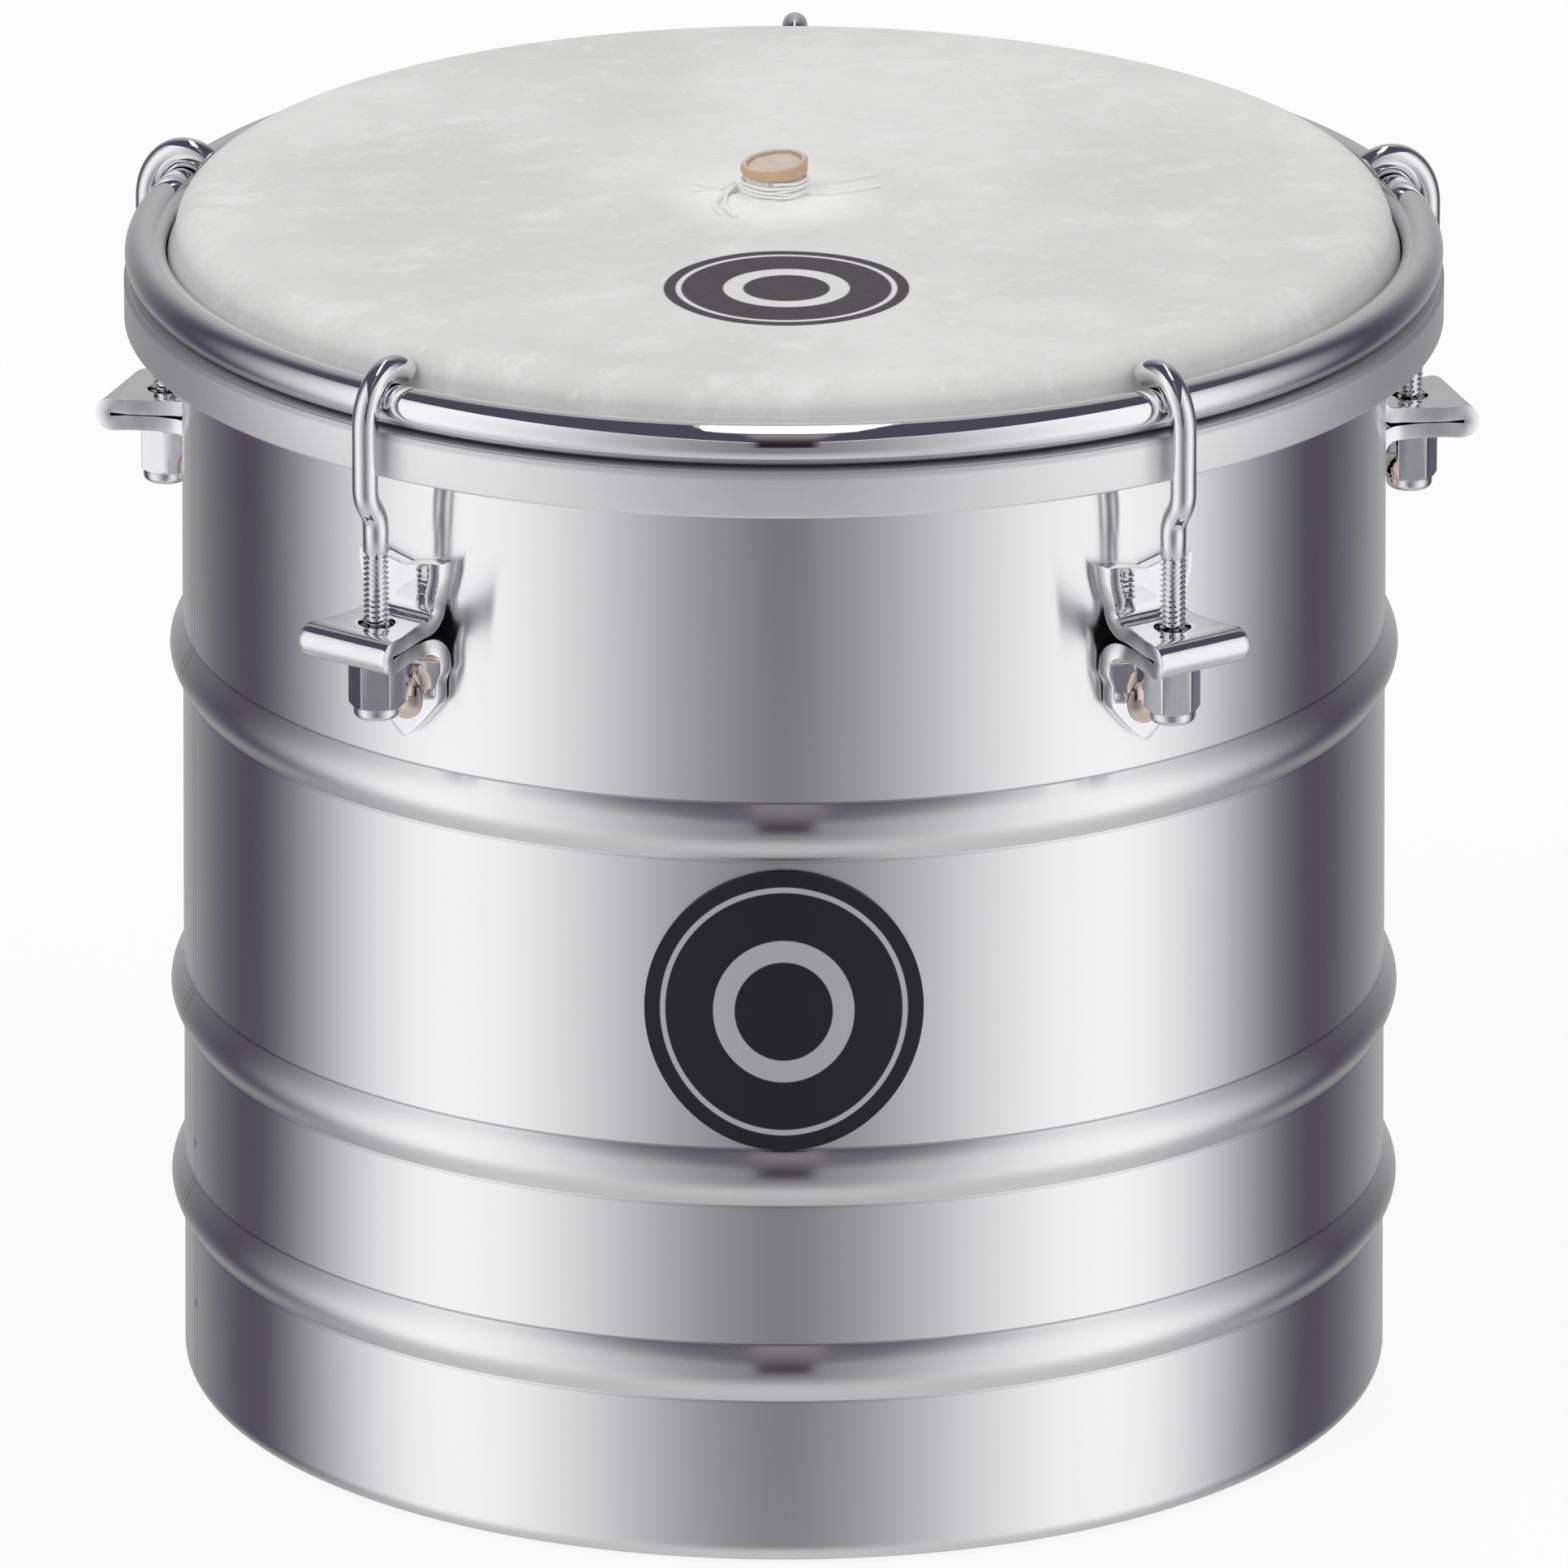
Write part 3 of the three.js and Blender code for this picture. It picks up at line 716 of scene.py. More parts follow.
# %% [markdown]
# ## The hoops
#
# The counter hoop is bent from round steel rod, welded and chromed. Under it, the flesh hoop is a
# band of rolled aluminium with its edges turned in, and the skin's hem is tucked inside it.
# The rod is a closed outline that is spun round the drum. The band is drawn as sheet, like the
# shell, and gets its wall from solidify.

# %% Rod hoop and band
band_sheet = 1.2 * MM
band_flange = 6.6 * MM
band_round = 0.8 * MM
band_edge = 0.6 * MM
hoop_steps = 240

bm = turned(arc((HOOP_RADIUS, HOOP_HEIGHT), HOOP_ROD, 0, 352.5, 47), hoop_steps, closed=True)
to_place(bm)
make("rod_hoop", bm, hoop_chrome, ["counter_hoop"], "drum", 60)

low, high = BAND_LOW.z, BAND_HIGH.z
outline = [
    (BAND_RADIUS - band_flange, low),
    *arc((BAND_RADIUS - band_edge, low + band_edge), band_edge, 270, 360, 5),
    *arc((BAND_RADIUS - band_round, high - band_round), band_round, 0, 90, 8),
    (BAND_RADIUS - band_flange, high),
]
bm = turned(outline, hoop_steps)
thicken(bm, band_sheet, lambda place: place - Vector((0, 0, high)))
to_place(bm)
make("flesh_band", bm, band_metal, ["flesh_hoop"], "drum", 50)

# %% [markdown]
# ## The skin
#
# The head is goat skin that was soaked, tied to the stick, and pulled down over the edge while
# wet. It dries white and cloudy, with a few creases that run out from the tie. It is one piece
# from the hem to the tied neck, so it is one mesh here too, and it rises in a low tent round the
# neck.

# %% Goat skin
stick_low, stick_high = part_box("stick")
STICK_X = (stick_low.x + stick_high.x) / 2
STICK = Vector((STICK_X, AXIS.y, 0))
print_centre = AXIS + Vector((1.5, -59.3, 0)) * MM
print_radius = 23.6 * MM
print_edge = 0.02
ink_tone = (0.042, 0.034, 0.048, 1)
near_stick_tone = (0.985, 0.985, 0.98, 1)
fold_x, fold_y = -110 * MM, -9.2 * MM
fold_slope = 0.22

skin_hide, paint = material("goat_skin")
place = paint.place()
x, y, z = paint.parts(place)
drift = paint.cloud(place, 9, 4.0, 0.6)
streaks = paint.cloud(paint.joined(x + y * 0.7, (y - x * 0.5) * 1.5, z), 42, 6.0, 0.7)
flecks = paint.cloud(place, 260, 2.0, 0.6)
pores = paint.cloud(place, 1500, 2.0, 0.7)
tone = paint.mix(drift.rise(0.38, 0.64), (0.79, 0.79, 0.784, 1), (0.69, 0.692, 0.684, 1))
tone = paint.mix(streaks.rise(0.5, 0.72) * 0.75, tone, (0.84, 0.84, 0.836, 1))
tone = paint.mix(flecks.rise(0.62, 0.75) * 0.35, tone, (0.92, 0.92, 0.915, 1))
tone = paint.mix(flecks.fall(0.25, 0.38) * 0.3, tone, (0.64, 0.635, 0.625, 1))
# The skin is paler round the stick, mottled by the streaks.
near_stick_pale = from_line(x, y, STICK).fall(8 * MM, 26 * MM) * (0.6 + streaks * 0.5)
tone = paint.mix(near_stick_pale, tone, near_stick_tone)
fold = abs(y - AXIS.y - fold_y + (x - fold_x) * fold_slope).fall(0.2 * MM, 1.1 * MM)
fold = fold * x.fall(-107 * MM, -103 * MM)
out = from_line(x, y, print_centre) / print_radius
ink = out.fall(1 - print_edge, 1) * z.rise(SKIN_TOP - 2 * MM, SKIN_TOP - 1 * MM)
ink = ink * (1 - rings(out, print_edge)) * (0.93 + pores * 0.07)
grain = streaks * 0.5 + flecks * 0.35 + pores * 0.15
finish("skin", {
    "Base Color": paint.mix(ink, tone, ink_tone),
    "Roughness": 0.5 + drift * 0.15,
    "Normal": paint.bump(grain + fold * 4, 0.12 * MM, 0.6),
    "Subsurface Weight": 0.08,
    "Subsurface Radius": (0.9, 0.8, 0.7),
    "Subsurface Scale": 1.5 * MM,
}, paint)

# %% Skin
skin_thick = 1 * MM
skin_gap = 0.3 * MM
neck_radius = 5.6 * MM
neck_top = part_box("skin_neck")[1].z
tent_reach = 11 * MM
tent_rise = 0.75 * MM
hem_height = (BAND_LOW.z + BAND_HIGH.z) / 2
hem_reach = 6 * MM
hem_drop = 2.2 * MM
skin_side = HOOP_RADIUS - HOOP_ROD - skin_gap
skin_steps = 288
crease_turns = [radians(a) for a in (9, 21, 33, 128, 171, 196, 232, 262, 318)]
crease_reach = 21 * MM
crease_rise = 0.32 * MM
crease_half = 0.55 * MM
wave_rise = 0.12 * MM
wave_size = 16 * MM
pleats = 19
pleat_depth = 0.3 * MM


def skin_outline():
    """From the top of the neck, out over the bearing edge, and down to the hem."""
    neck = [(neck_radius, neck_top - (neck_top - SKIN_TOP - 1.5 * MM) * i / 6) for i in range(7)]
    flat = [neck_radius + (1.2 + 0.7 * i) * MM for i in range(26)]
    flat += [(27 + 6 * i) * MM for i in range(14)]
    corner = arc(top_centre, bearing_radius + skin_gap + skin_thick, 90, 0, 12)
    side = [(skin_side, HOOP_HEIGHT), (skin_side, hem_height)]
    hem = [(skin_side + hem_reach, hem_height), (skin_side + hem_reach, hem_height - hem_drop)]
    return [*neck, *[(radius, SKIN_TOP) for radius in flat], *corner, *side, *hem]


def skin_lift(x, y):
    """How far the skin's top stands above the flat: the tent, its creases and a slight wave."""
    spot = Vector((x - STICK_X, y, 0))
    out = spot.length
    turn = atan2(spot.y, spot.x)
    tent = tent_rise * (1 - smooth(out, neck_radius, neck_radius + tent_reach)) ** 2
    fold = 0
    for i, crease in enumerate(crease_turns):
        bend = crease + 0.12 * sin(out / (5 * MM) + i)
        near = abs(remainder(turn - bend, 2 * pi)) * out
        reach = crease_reach * (0.75 + 0.35 * sin(3.7 * i))
        fade = 1 - smooth(out, reach * 0.45, reach)
        fold += crease_rise * exp(-(near / crease_half) ** 2) * fade
    fold *= smooth(out, neck_radius, neck_radius + 3 * MM)
    wave = wave_rise * noise.noise(Vector((x, y, 0)) / wave_size)
    return tent + fold + wave * smooth(out, 9 * MM, 30 * MM)


bm = turned(skin_outline(), skin_steps)
for vert in bm.verts:
    radius = hypot(vert.co.x, vert.co.y)
    if radius < neck_radius + 0.1 * MM:
        turn = atan2(vert.co.y, vert.co.x)
        pleat = pleat_depth * (0.5 + 0.5 * sin(pleats * turn + 2 * sin(3 * turn)))
        vert.co.x -= pleat * cos(turn)
        vert.co.y -= pleat * sin(turn)
    centring = 1 - smooth(radius, neck_radius + 1 * MM, 45 * MM)
    vert.co.x += STICK_X * centring
    if vert.co.z > SKIN_TOP - 0.01 * MM and radius < 112 * MM:
        inside = 1 - smooth(radius, 95 * MM, 111 * MM)
        vert.co.z += skin_lift(vert.co.x, vert.co.y) * inside
thicken(bm, skin_thick, lambda place: UP if place.z > SKIN_TOP - 0.1 * MM else Vector())
to_place(bm)
skin = make("skin_head", bm, skin_hide, ["skin", "skin_neck"], None, 50)
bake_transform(skin)

# %% [markdown]
# ## The tie string
#
# White cotton string is wound round the neck, knotted at the left, and its ends lie on the skin.
# It is drawn as curves that are made into one mesh.

# %% Twine
twine_fibre, paint = material("twine")
strands = paint.cloud(paint.place(), 2600, 2.0)
finish("twine", {
    "Base Color": paint.mix(strands, (0.84, 0.84, 0.83, 1), (0.93, 0.93, 0.925, 1)),
    "Roughness": 0.85,
    "Normal": paint.bump(strands, 0.08 * MM),
}, paint)

string_low, string_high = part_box("tie_string")
string_radius = 0.35 * MM
coil_radius = neck_radius + 0.35 * MM + string_radius
coil_turns = 2.75
coil_sway = 0.17
coil_slack = 0.35 * MM
turn_steps = 40
knot_centre = STICK + Vector((-8.4 * MM, -0.5 * MM, SKIN_TOP + 1.6 * MM))
knot_size = Vector((0.42, 0.5, 0.55)) * MM


def coil_points(turns, start, low, high, away, seed):
    """String wound round the neck between two shares of its height, wandering as it goes."""
    points = []
    steps = int(turn_steps * turns)
    lowest = string_low.z + string_radius
    room = string_high.z - string_radius - lowest
    for i in range(steps + 1):
        turn = start - 2 * pi * i / turn_steps
        sway = coil_sway * noise.noise(Vector((i / 6, seed, 0)))
        share = min(max(low + (high - low) * i / steps + sway, 0), 1)
        radius = coil_radius + away + coil_slack * abs(noise.noise(Vector((i / 5, seed + 5, 0))))
        place = Vector((radius * cos(turn), radius * sin(turn), lowest + room * share))
        points.append(STICK + place)
    return points


def knot_points():
    """A small overhand knot: a trefoil squeezed flat, beside the neck."""
    points = []
    for i in range(49):
        t = 2 * pi * i / 48
        loop = Vector((sin(t) + 2 * sin(2 * t), cos(t) - 2 * cos(2 * t), -sin(3 * t)))
        points.append(knot_centre + loop * knot_size)
    return points


def laid_points(start, end, bow, lie, steepness, steps):
    """String that comes down to the skin and lies along it, with a slight bow."""
    points = []
    for i in range(steps + 1):
        t = i / steps
        spot = start.lerp(end, t) + bow * sin(pi * t)
        spot.z = lie + (start.z - lie) * (1 - t) ** steepness
        points.append(spot)
    return points


def tail(x, y, bow):
    """An end of the string, from the knot to a place in mm from the stick."""
    end = STICK + Vector((x, y, 0)) * MM
    return laid_points(knot_centre, end, Vector((bow, 0, 0)) * MM, SKIN_TOP + 0.55 * MM, 3, 18)


def strand(x, y, end_x, end_y, bow):
    """A loose strand, from a place on the winding to one on the skin, in mm from the stick."""
    start = STICK + Vector((x * MM, y * MM, string_low.z + 1 * MM))
    end = STICK + Vector((end_x, end_y, 0)) * MM
    return laid_points(start, end, Vector((0, bow, 0)) * MM, SKIN_TOP + 0.4 * MM, 4, 20)


string_runs = [
    (coil_points(coil_turns, pi, 0, 1, 0, 1), 1),
    (coil_points(1.6, 2.6, 0.75, 0.1, 0.35 * MM, 4), 0.8),
    (coil_points(1.1, -0.9, 0.05, 0.8, 0.5 * MM, 8), 0.7),
    (strand(5.2, -3.4, 20.5, 5.2, -0.6), 0.55),
    (strand(5.8, 1.6, 19.6, 12.4, 0.7), 0.5),
    (strand(-6.2, 1.8, -16.4, 0.8, 0.5), 0.5),
    (knot_points(), 1),
    (tail(-7.2, -15.5, -1.6), 0.9),
    (tail(-9.6, -14.2, -2.2), 0.9),
    (tail(-15.5, 6.0, 0.5), 0.7),
]
bm = bmesh.new()
for points, share in string_runs:
    add_part(bm, rod(points, string_radius * share, 10))
string = make("neck_string", bm, twine_fibre, ["tie_string"], None, 60)
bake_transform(string)

# %% [markdown]
# ## The stick
#
# The stick is a length of bamboo, cut just above a node so that the node's wall closes the tube.
# That end is the button that shows above the skin. It was sawn by hand, a little aslant. The lathe
# outline is sheared after it is spun, and the fibres are noise stretched along the cane.

# %% Bamboo
slant = 0.11
lean = 0.06
cane_tones = (0.66, 0.46, 0.29, 1), (0.49, 0.325, 0.2, 1)
cane_mark = (0.74, 0.56, 0.39, 1)
pith_tones = (0.78, 0.65, 0.56, 1), (0.58, 0.46, 0.39, 1)
cut_tone = (0.25, 0.16, 0.12, 1)

bamboo, paint = material("bamboo")
x, y, z = paint.parts(paint.place())
fibres = paint.cloud(paint.joined(x, y, z * 0.06), 2400, 3.0, 0.6)
mottle = paint.cloud(paint.place(), 420, 3.0, 0.6)
out = from_line(x, y, STICK)
top = z - (x - STICK.x) * slant - (y - STICK.y) * lean
core = out.fall(5.9 * MM, 6.2 * MM) * top.rise(SKIN_TOP + 5.4 * MM, SKIN_TOP + 5.6 * MM)
cut = abs(out - 5.25 * MM + (mottle - 0.5) * 0.5 * MM).fall(0.06 * MM, 0.22 * MM) * core
tone = paint.mix(fibres, *cane_tones)
tone = paint.mix(mottle.rise(0.5, 0.75) * 0.6, tone, cane_mark)
tone = paint.mix(core, tone, paint.mix(mottle, *pith_tones))
finish("bamboo", {
    "Base Color": paint.mix(cut * 0.6, tone, cut_tone),
    "Roughness": 0.5 + fibres * 0.25,
    "Normal": paint.bump(fibres * 0.7 + mottle * 0.3, 0.1 * MM),
}, paint)

# %% Stick and button
stick_radius = 4 * MM
stick_foot = stick_low.z
button_under = neck_top + 0.3 * MM
button_top = stick_high.z
button_radius = (stick_high.x - stick_low.x) / 2
button_hollow = 5.2 * MM
hollow_depth = 0.7 * MM
node_heights = [96 * MM, 178 * MM]
node_rise = 0.35 * MM
node_half = 1.3 * MM


def cane(height):
    """The cane's radius at a height, with a low ring at each node."""
    swells = [exp(-((height - node) / node_half) ** 2) for node in node_heights]
    return stick_radius + node_rise * sum(swells)


shaft_length = button_under - stick_foot - 1.6 * MM
shaft = [stick_foot + 1 * MM + shaft_length * i / 60 for i in range(61)]
hollow_floor = button_top - hollow_depth
outline = [
    (0, stick_foot), (stick_radius - 0.8 * MM, stick_foot),
    *[(cane(height), height) for height in shaft],
    (stick_radius, button_under), (button_radius - 0.4 * MM, button_under),
    (button_radius, button_under + 0.4 * MM), (button_radius, button_top - 0.35 * MM),
    (button_radius - 0.35 * MM, button_top), (button_hollow + 0.3 * MM, button_top),
    (button_hollow, button_top - 0.3 * MM), (button_hollow - 0.1 * MM, hollow_floor),
    (button_hollow * 0.5, hollow_floor - 0.15 * MM), (0, hollow_floor - 0.2 * MM),
]
bm = turned(outline, 72)
for vert in bm.verts:
    share = smooth(vert.co.z, button_under + 0.3 * MM, hollow_floor)
    if vert.co.z > button_under - 0.1 * MM:
        vert.co.z += vert.co.y * lean
    vert.co.z += (vert.co.x * slant - 0.35 * MM) * share
    rough = noise.noise(vert.co / (3 * MM)) * 0.12 * MM
    if vert.co.z > button_under and vert.co.length > stick_radius:
        vert.co += Vector((vert.co.x, vert.co.y, 0)).normalized() * rough
bmesh.ops.translate(bm, verts=bm.verts, vec=STICK)
make("bamboo_stick", bm, bamboo, ["stick"], "stick", 35)

# %% [markdown]
# ## The lugs
#
# Each lug is a bracket folded from one strip, a rivet, a J-shaped hook and a nut. All five are
# alike, so each piece is modelled once, on the +X side of the axis, and turned to its place.
# The bracket starts as a flat grid. Each of its rows is laid along the folded centre line and each
# column across it, which leaves even faces at the bends; then it gets its hole and thickness.

# %% Bracket
bracket_low, bracket_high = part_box("lug_bracket_1")
strip = 3 * MM
fold_gap = 0.6 * MM
shelf = 185.2 * MM
seat = wall_at(shelf) + 0.3 * MM
shelf_under = shelf - 2 * strip - fold_gap
nose = bracket_high.y - AXIS.y
tab_point = bracket_low.z
tab_side_end = 168.2 * MM
tab_shoulder = 173.4 * MM
bend_inside = 2.6 * MM
flange_top = bracket_high.z
flange_notch = 2.0 * MM
hole_radius = 3.55 * MM
edge_curl = 1.0 * MM
pinch_depth = 0.2 * MM
waist = 8 * MM
tab_half = 8.1 * MM
shoulder_more = 1.2 * MM
nose_more = 2.1 * MM
flange_more = 1.6 * MM
under_more = 1.3 * MM
across_cells = 20


def bracket_line():
    """The folded strip's centre line as (radius, height) points, with the name of each stretch."""
    middle = seat + strip / 2
    bend = bend_inside + strip / 2
    upper = shelf - strip / 2
    lower = shelf_under + strip / 2
    fold = (upper - lower) / 2
    fold_x = nose - strip / 2 - fold
    out_x = middle + bend
    reach = [out_x + (fold_x - out_x) * i / 20 for i in range(1, 20)]
    line = [("flange", middle, flange_top + (upper + bend - flange_top) * i / 8) for i in range(8)]
    line += [("bend", *p) for p in arc((middle + bend, upper + bend), bend, 180, 270, 7)]
    line += [("shelf", radius, upper) for radius in reach]
    line += [("fold", *p) for p in arc((fold_x, lower + fold), fold, 90, -90, 12)]
    line += [("under", radius, lower) for radius in reversed(reach)]
    line += [("bend", *p) for p in arc((middle + bend, lower - bend), bend, 90, 180, 7)]
    tab_top = lower - bend
    line += [("tab", middle, tab_top + (tab_point - tab_top) * i / 12) for i in range(1, 13)]
    return line


def half_width(stretch, radius, height):
    """Half the strip's width: a waist near the shell, a wide nose, and a shouldered tab."""
    if stretch == "tab":
        above = smooth(height, tab_shoulder - 1 * MM, tab_shoulder + 1.2 * MM)
        return tab_half + shoulder_more * above
    half = waist + nose_more * smooth(radius, seat + 6 * MM, nose - 1 * MM)
    if height > shelf - strip:
        return half + flange_more * smooth(height, shelf + 1.5 * MM, flange_top - 2 * MM)
    return half + under_more * (1 - smooth(radius, seat, seat + 7 * MM))


def bracket():
    """The flat grid laid along the folded line, punched, and given the strip's thickness."""
    line = bracket_line()
    rows = len(line) - 1
    bm = bmesh.new()
    bmesh.ops.create_grid(bm, x_segments=rows, y_segments=across_cells, size=0.5)
    for vert in bm.verts:
        row = round((vert.co.x + 0.5) * rows)
        u = vert.co.y * 2
        stretch, radius, height = line[row]
        before, after = line[max(row - 1, 0)], line[min(row + 1, rows)]
        along = Vector((after[1] - before[1], 0, after[2] - before[2])).normalized()
        outward = Vector((-along.z, 0, along.x))
        y = u * half_width(stretch, radius, height)
        if stretch == "flange":
            share = (height - shelf) / (flange_top - shelf)
            height -= flange_notch * (1 - abs(u)) * share ** 3
        if stretch == "tab":
            share = (shelf_under - height) / (shelf_under - tab_point)
            height += (tab_side_end - tab_point) * abs(u) ** 1.25 * smooth(share, 0.3, 1)
        rim = smooth(abs(u), 0.6, 1) ** 1.5
        curl = edge_curl * rim * smooth(height, shelf - 1 * MM, shelf + 4 * MM)
        pinch = pinch_depth * smooth(radius, seat + 6 * MM, seat + 11 * MM)
        pinch *= 1 - smooth(radius, nose - 7 * MM, nose - 3.4 * MM)
        height += {"under": pinch, "shelf": -pinch}.get(stretch, 0)
        vert.co = Vector((radius + curl, y, height)) + outward * (strip / 2)
    punch(bm)
    bmesh.ops.recalc_face_normals(bm, faces=bm.faces)
    thicken(bm, strip, lambda place: UP if abs(place.z - shelf) < 0.8 * MM else Vector())
    soften(bm, 0.4 * MM, 50)
    return bm


def punch(bm):
    """Opens the hook's hole in both layers of the shelf."""
    def from_hole(point):
        return hypot(point.x - NUT_RADIUS, point.y)

    inside = [f for f in bm.faces if from_hole(f.calc_center_median()) < hole_radius]
    bmesh.ops.delete(bm, geom=inside, context="FACES")
    for vert in bm.verts:
        if vert.is_boundary and from_hole(vert.co) < 1.6 * hole_radius:
            out = Vector((vert.co.x - NUT_RADIUS, vert.co.y, 0)).normalized() * hole_radius
            vert.co.x = NUT_RADIUS + out.x
            vert.co.y = out.y


# %% Hook and its thread
hook_radius = 2.5 * MM
hook_leg = BAND_RADIUS + hook_radius + 1.15 * MM
hook_shoulder = 10 * MM
hook_tip = 130
jog_top = BAND_LOW.z - 1.2 * MM
jog_depth = 9 * MM
thread_start = 199.3 * MM
thread_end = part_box("tension_hook_1")[0].z
thread_pitch = 25.4 / 24 * MM
thread_crest = 2.45 * MM
thread_root = 1.85 * MM


def hook():
    """A rod over the rod hoop and down its outside, with a jog inwards, and its thread."""
    bow = HOOP_ROD + 0.3 * MM + hook_radius
    apex = HOOP_HEIGHT + bow
    shoulder = apex - hook_shoulder
    kappa = 4 / 3 * (sqrt(2) - 1)
    tip = arc((HOOP_RADIUS, HOOP_HEIGHT), bow, hook_tip, 90, 10)
    over = bent([
        (HOOP_RADIUS, apex), (HOOP_RADIUS + (hook_leg - HOOP_RADIUS) * kappa, apex),
        (hook_leg, shoulder + hook_shoulder * kappa), (hook_leg, shoulder),
    ], 16)
    jog = bent([
        (hook_leg, jog_top), (hook_leg, jog_top - jog_depth / 2),
        (NUT_RADIUS, jog_top - jog_depth / 2), (NUT_RADIUS, jog_top - jog_depth),
    ], 12)
    ends = (thread_start, thread_start - 0.8 * MM, thread_end + 0.3 * MM)
    core = [(NUT_RADIUS, height) for height in ends]
    path = [(radius, 0, height) for radius, height in [*tip[:-1], *over, *jog, *core]]
    shares = [1] * (len(path) - 2) + [thread_root / hook_radius] * 2
    bm = rod(path, hook_radius, 32, shares)
    soften(bm, 0.4 * MM, 60)
    add_part(bm, screw())
    return bm


def screw():
    """A rolled thread: one tooth's outline spun and lifted by its own height each turn."""
    steps = 28
    turns = round((thread_start - thread_end) / thread_pitch) - 1
    run_out = 1.2 * thread_pitch
    bm = bmesh.new()
    tooth = [
        (thread_root, 0), (thread_root, 0.12), (thread_crest, 0.42), (thread_crest, 0.58),
        (thread_root, 0.88), (thread_root, 1),
    ]
    corners = [bm.verts.new((radius, 0, share * thread_pitch)) for radius, share in tooth]
    sides = [bm.edges.new(pair) for pair in zip(corners, corners[1:])]
    bmesh.ops.spin(
        bm, geom=corners + sides, cent=(0, 0, 0), axis=(0, 0, 1),
        dvec=(0, 0, thread_pitch / steps), angle=2 * pi * turns, steps=steps * turns,
    )
    bmesh.ops.remove_doubles(bm, verts=bm.verts, dist=0.005 * MM)
    length = max(v.co.z for v in bm.verts)
    for vert in bm.verts:
        fade = smooth(vert.co.z, 0, run_out) * (1 - smooth(vert.co.z, length - run_out, length))
        radius = hypot(vert.co.x, vert.co.y)
        kept = thread_root + (radius - thread_root) * fade
        vert.co.x *= kept / radius
        vert.co.y *= kept / radius
    bmesh.ops.holes_fill(bm, edges=[e for e in bm.edges if e.is_boundary], sides=0)
    tidy(bm)
    bmesh.ops.translate(bm, verts=bm.verts, vec=(NUT_RADIUS, 0, thread_end))
    return bm


# %% Nut
nut_flats = 9.53 * MM
nut_hex = 9.4 * MM
collar_radius = 4.5 * MM
collar_edge = 1.3 * MM
nut_chamfer = 0.9 * MM
nut_edge = 0.22 * MM
nut_bore = 2.6 * MM
nut_spins = [0, -11, 4, 5, -11]


def column(sides, radius):
    """An upright column that stands far out of the nut at both ends, for cutting it."""
    bm = bmesh.new()
    bmesh.ops.create_cone(
        bm, cap_ends=True, segments=sides, radius1=radius, radius2=radius, depth=40 * MM,
    )
    bmesh.ops.translate(bm, verts=bm.verts, vec=(0, 0, (NUT_HIGH.z + NUT_LOW.z) / 2))
    return bm


def nut():
    """A hexagon cut from a turned barrel, which leaves the arched chamfers of a real nut."""
    corner = nut_flats / sqrt(3)
    top, bottom = NUT_HIGH.z, NUT_LOW.z
    hex_bottom = top - nut_hex
    barrel = turned([
        (0, bottom), (collar_radius - collar_edge, bottom),
        *arc((collar_radius - collar_edge, bottom + collar_edge), collar_edge, 270, 360, 6)[1:],
        (collar_radius, hex_bottom - 0.3 * MM), (corner, hex_bottom + 0.5 * MM),
        (corner, top - nut_chamfer), (corner - nut_chamfer * 1.3, top), (0, top),
    ], 72)
    hexagon = column(6, corner)
    spin = Matrix.Rotation(pi / 6, 3, "Z")
    bmesh.ops.rotate(hexagon, verts=hexagon.verts, cent=(0, 0, 0), matrix=spin)
    soften(hexagon, nut_edge)
    bm = combined(barrel, hexagon, "INTERSECT")
    bm = combined(bm, column(32, nut_bore), "DIFFERENCE")
    bmesh.ops.translate(bm, verts=bm.verts, vec=(NUT_RADIUS, 0, 0))
    return bm


# %% Rivet and washer
rivet_low, rivet_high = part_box("bracket_rivet_1")
rivet_height = (rivet_low.z + rivet_high.z) / 2
rivet_inner = rivet_low.y - AXIS.y
rivet_outer = rivet_high.y - AXIS.y
rivet_dome = (rivet_high.z - rivet_low.z) / 2
dome_rise = 2.1 * MM
shank_radius = 2.2 * MM
head_radius = 3.6 * MM
head_rise = 1.5 * MM
head_edge = 0.7 * MM
washer_low, washer_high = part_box("rivet_washer_1")


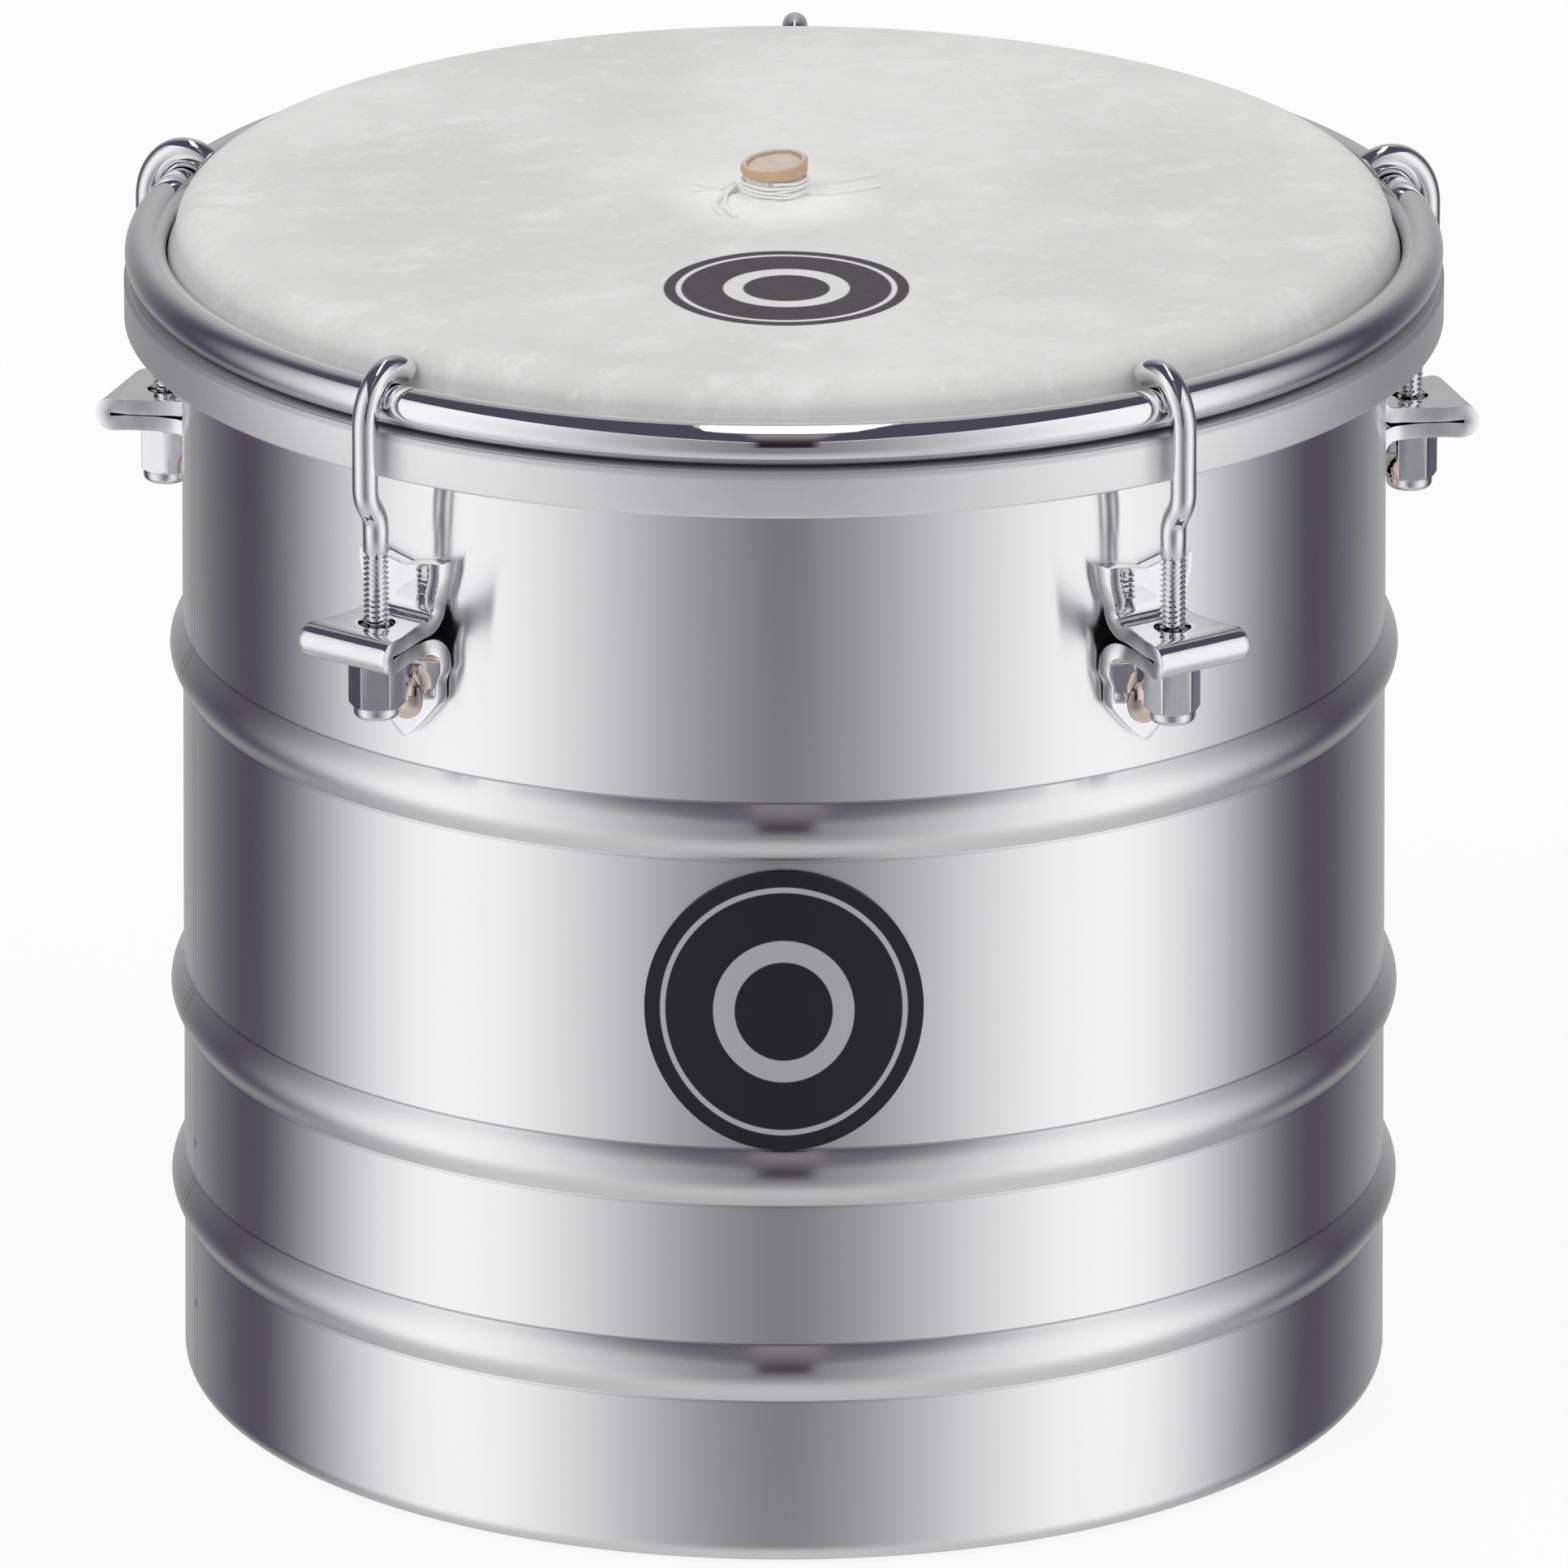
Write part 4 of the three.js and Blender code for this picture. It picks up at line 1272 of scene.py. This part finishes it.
def lying(bm):
    """Lays a piece that was turned round Z along +X, at the rivet's height."""
    quarter = Matrix.Rotation(pi / 2, 3, "Y")
    bmesh.ops.rotate(bm, verts=bm.verts, cent=(0, 0, 0), matrix=quarter)
    bmesh.ops.translate(bm, verts=bm.verts, vec=(0, 0, rivet_height))
    return bm


def rivet():
    """A low dome outside the tab, a shank, and a flat head inside the shell."""
    sphere = (rivet_dome ** 2 + dome_rise ** 2) / (2 * dome_rise)
    spread = degrees(asin(rivet_dome / sphere))
    seat_at = rivet_outer - dome_rise
    outline = [
        (0, rivet_inner), (head_radius - head_edge, rivet_inner),
        (head_radius, rivet_inner + head_edge),
        (head_radius, rivet_inner + head_rise), (shank_radius, rivet_inner + head_rise),
        (shank_radius, seat_at), (rivet_dome - 0.2 * MM, seat_at),
        *arc((0, rivet_outer - sphere), sphere, 90 - spread, 90, 10),
    ]
    return lying(turned(outline, 48))


def washer():
    """A flat ring between the rivet's head and the shell."""
    inner, outer = washer_low.y - AXIS.y, washer_high.y - AXIS.y
    radius = (washer_high.z - washer_low.z) / 2
    bore = shank_radius + 0.3 * MM
    bm = turned([(bore, inner), (radius, inner), (radius, outer), (bore, outer)], 48, closed=True)
    soften(bm, 0.15 * MM)
    return lying(bm)


# %% Five of each
lug_pieces = [
    ("bracket", bracket, lug_chrome, "lug_chrome", "lug_bracket", None, 40),
    ("hook", hook, lug_chrome, "lug_chrome", "tension_hook", "hook", 50),
    ("nut", nut, nut_chrome, "nut_chrome", "tension_nut", "nut", 20),
    ("rivet", rivet, rivet_nickel, "rivet_nickel", "bracket_rivet", None, 40),
    ("washer", washer, band_metal, "band_aluminium", "rivet_washer", None, 40),
]
for name, build, surface, slot, node, body, crease in lug_pieces:
    pattern = build()
    for i, turn in enumerate(lug_turns, 1):
        bm = pattern.copy()
        if body == "nut":
            spin = Matrix.Rotation(radians(nut_spins[i - 1]), 3, "Z")
            bmesh.ops.rotate(bm, verts=bm.verts, cent=(NUT_RADIUS, 0, 0), matrix=spin)
        to_place(bm, turn)
        rides = f"{body}_{i}" if body else "drum"
        make(f"{name}_{i}", bm, surface, [f"{node}_{i}"], rides, crease)
    pattern.free()
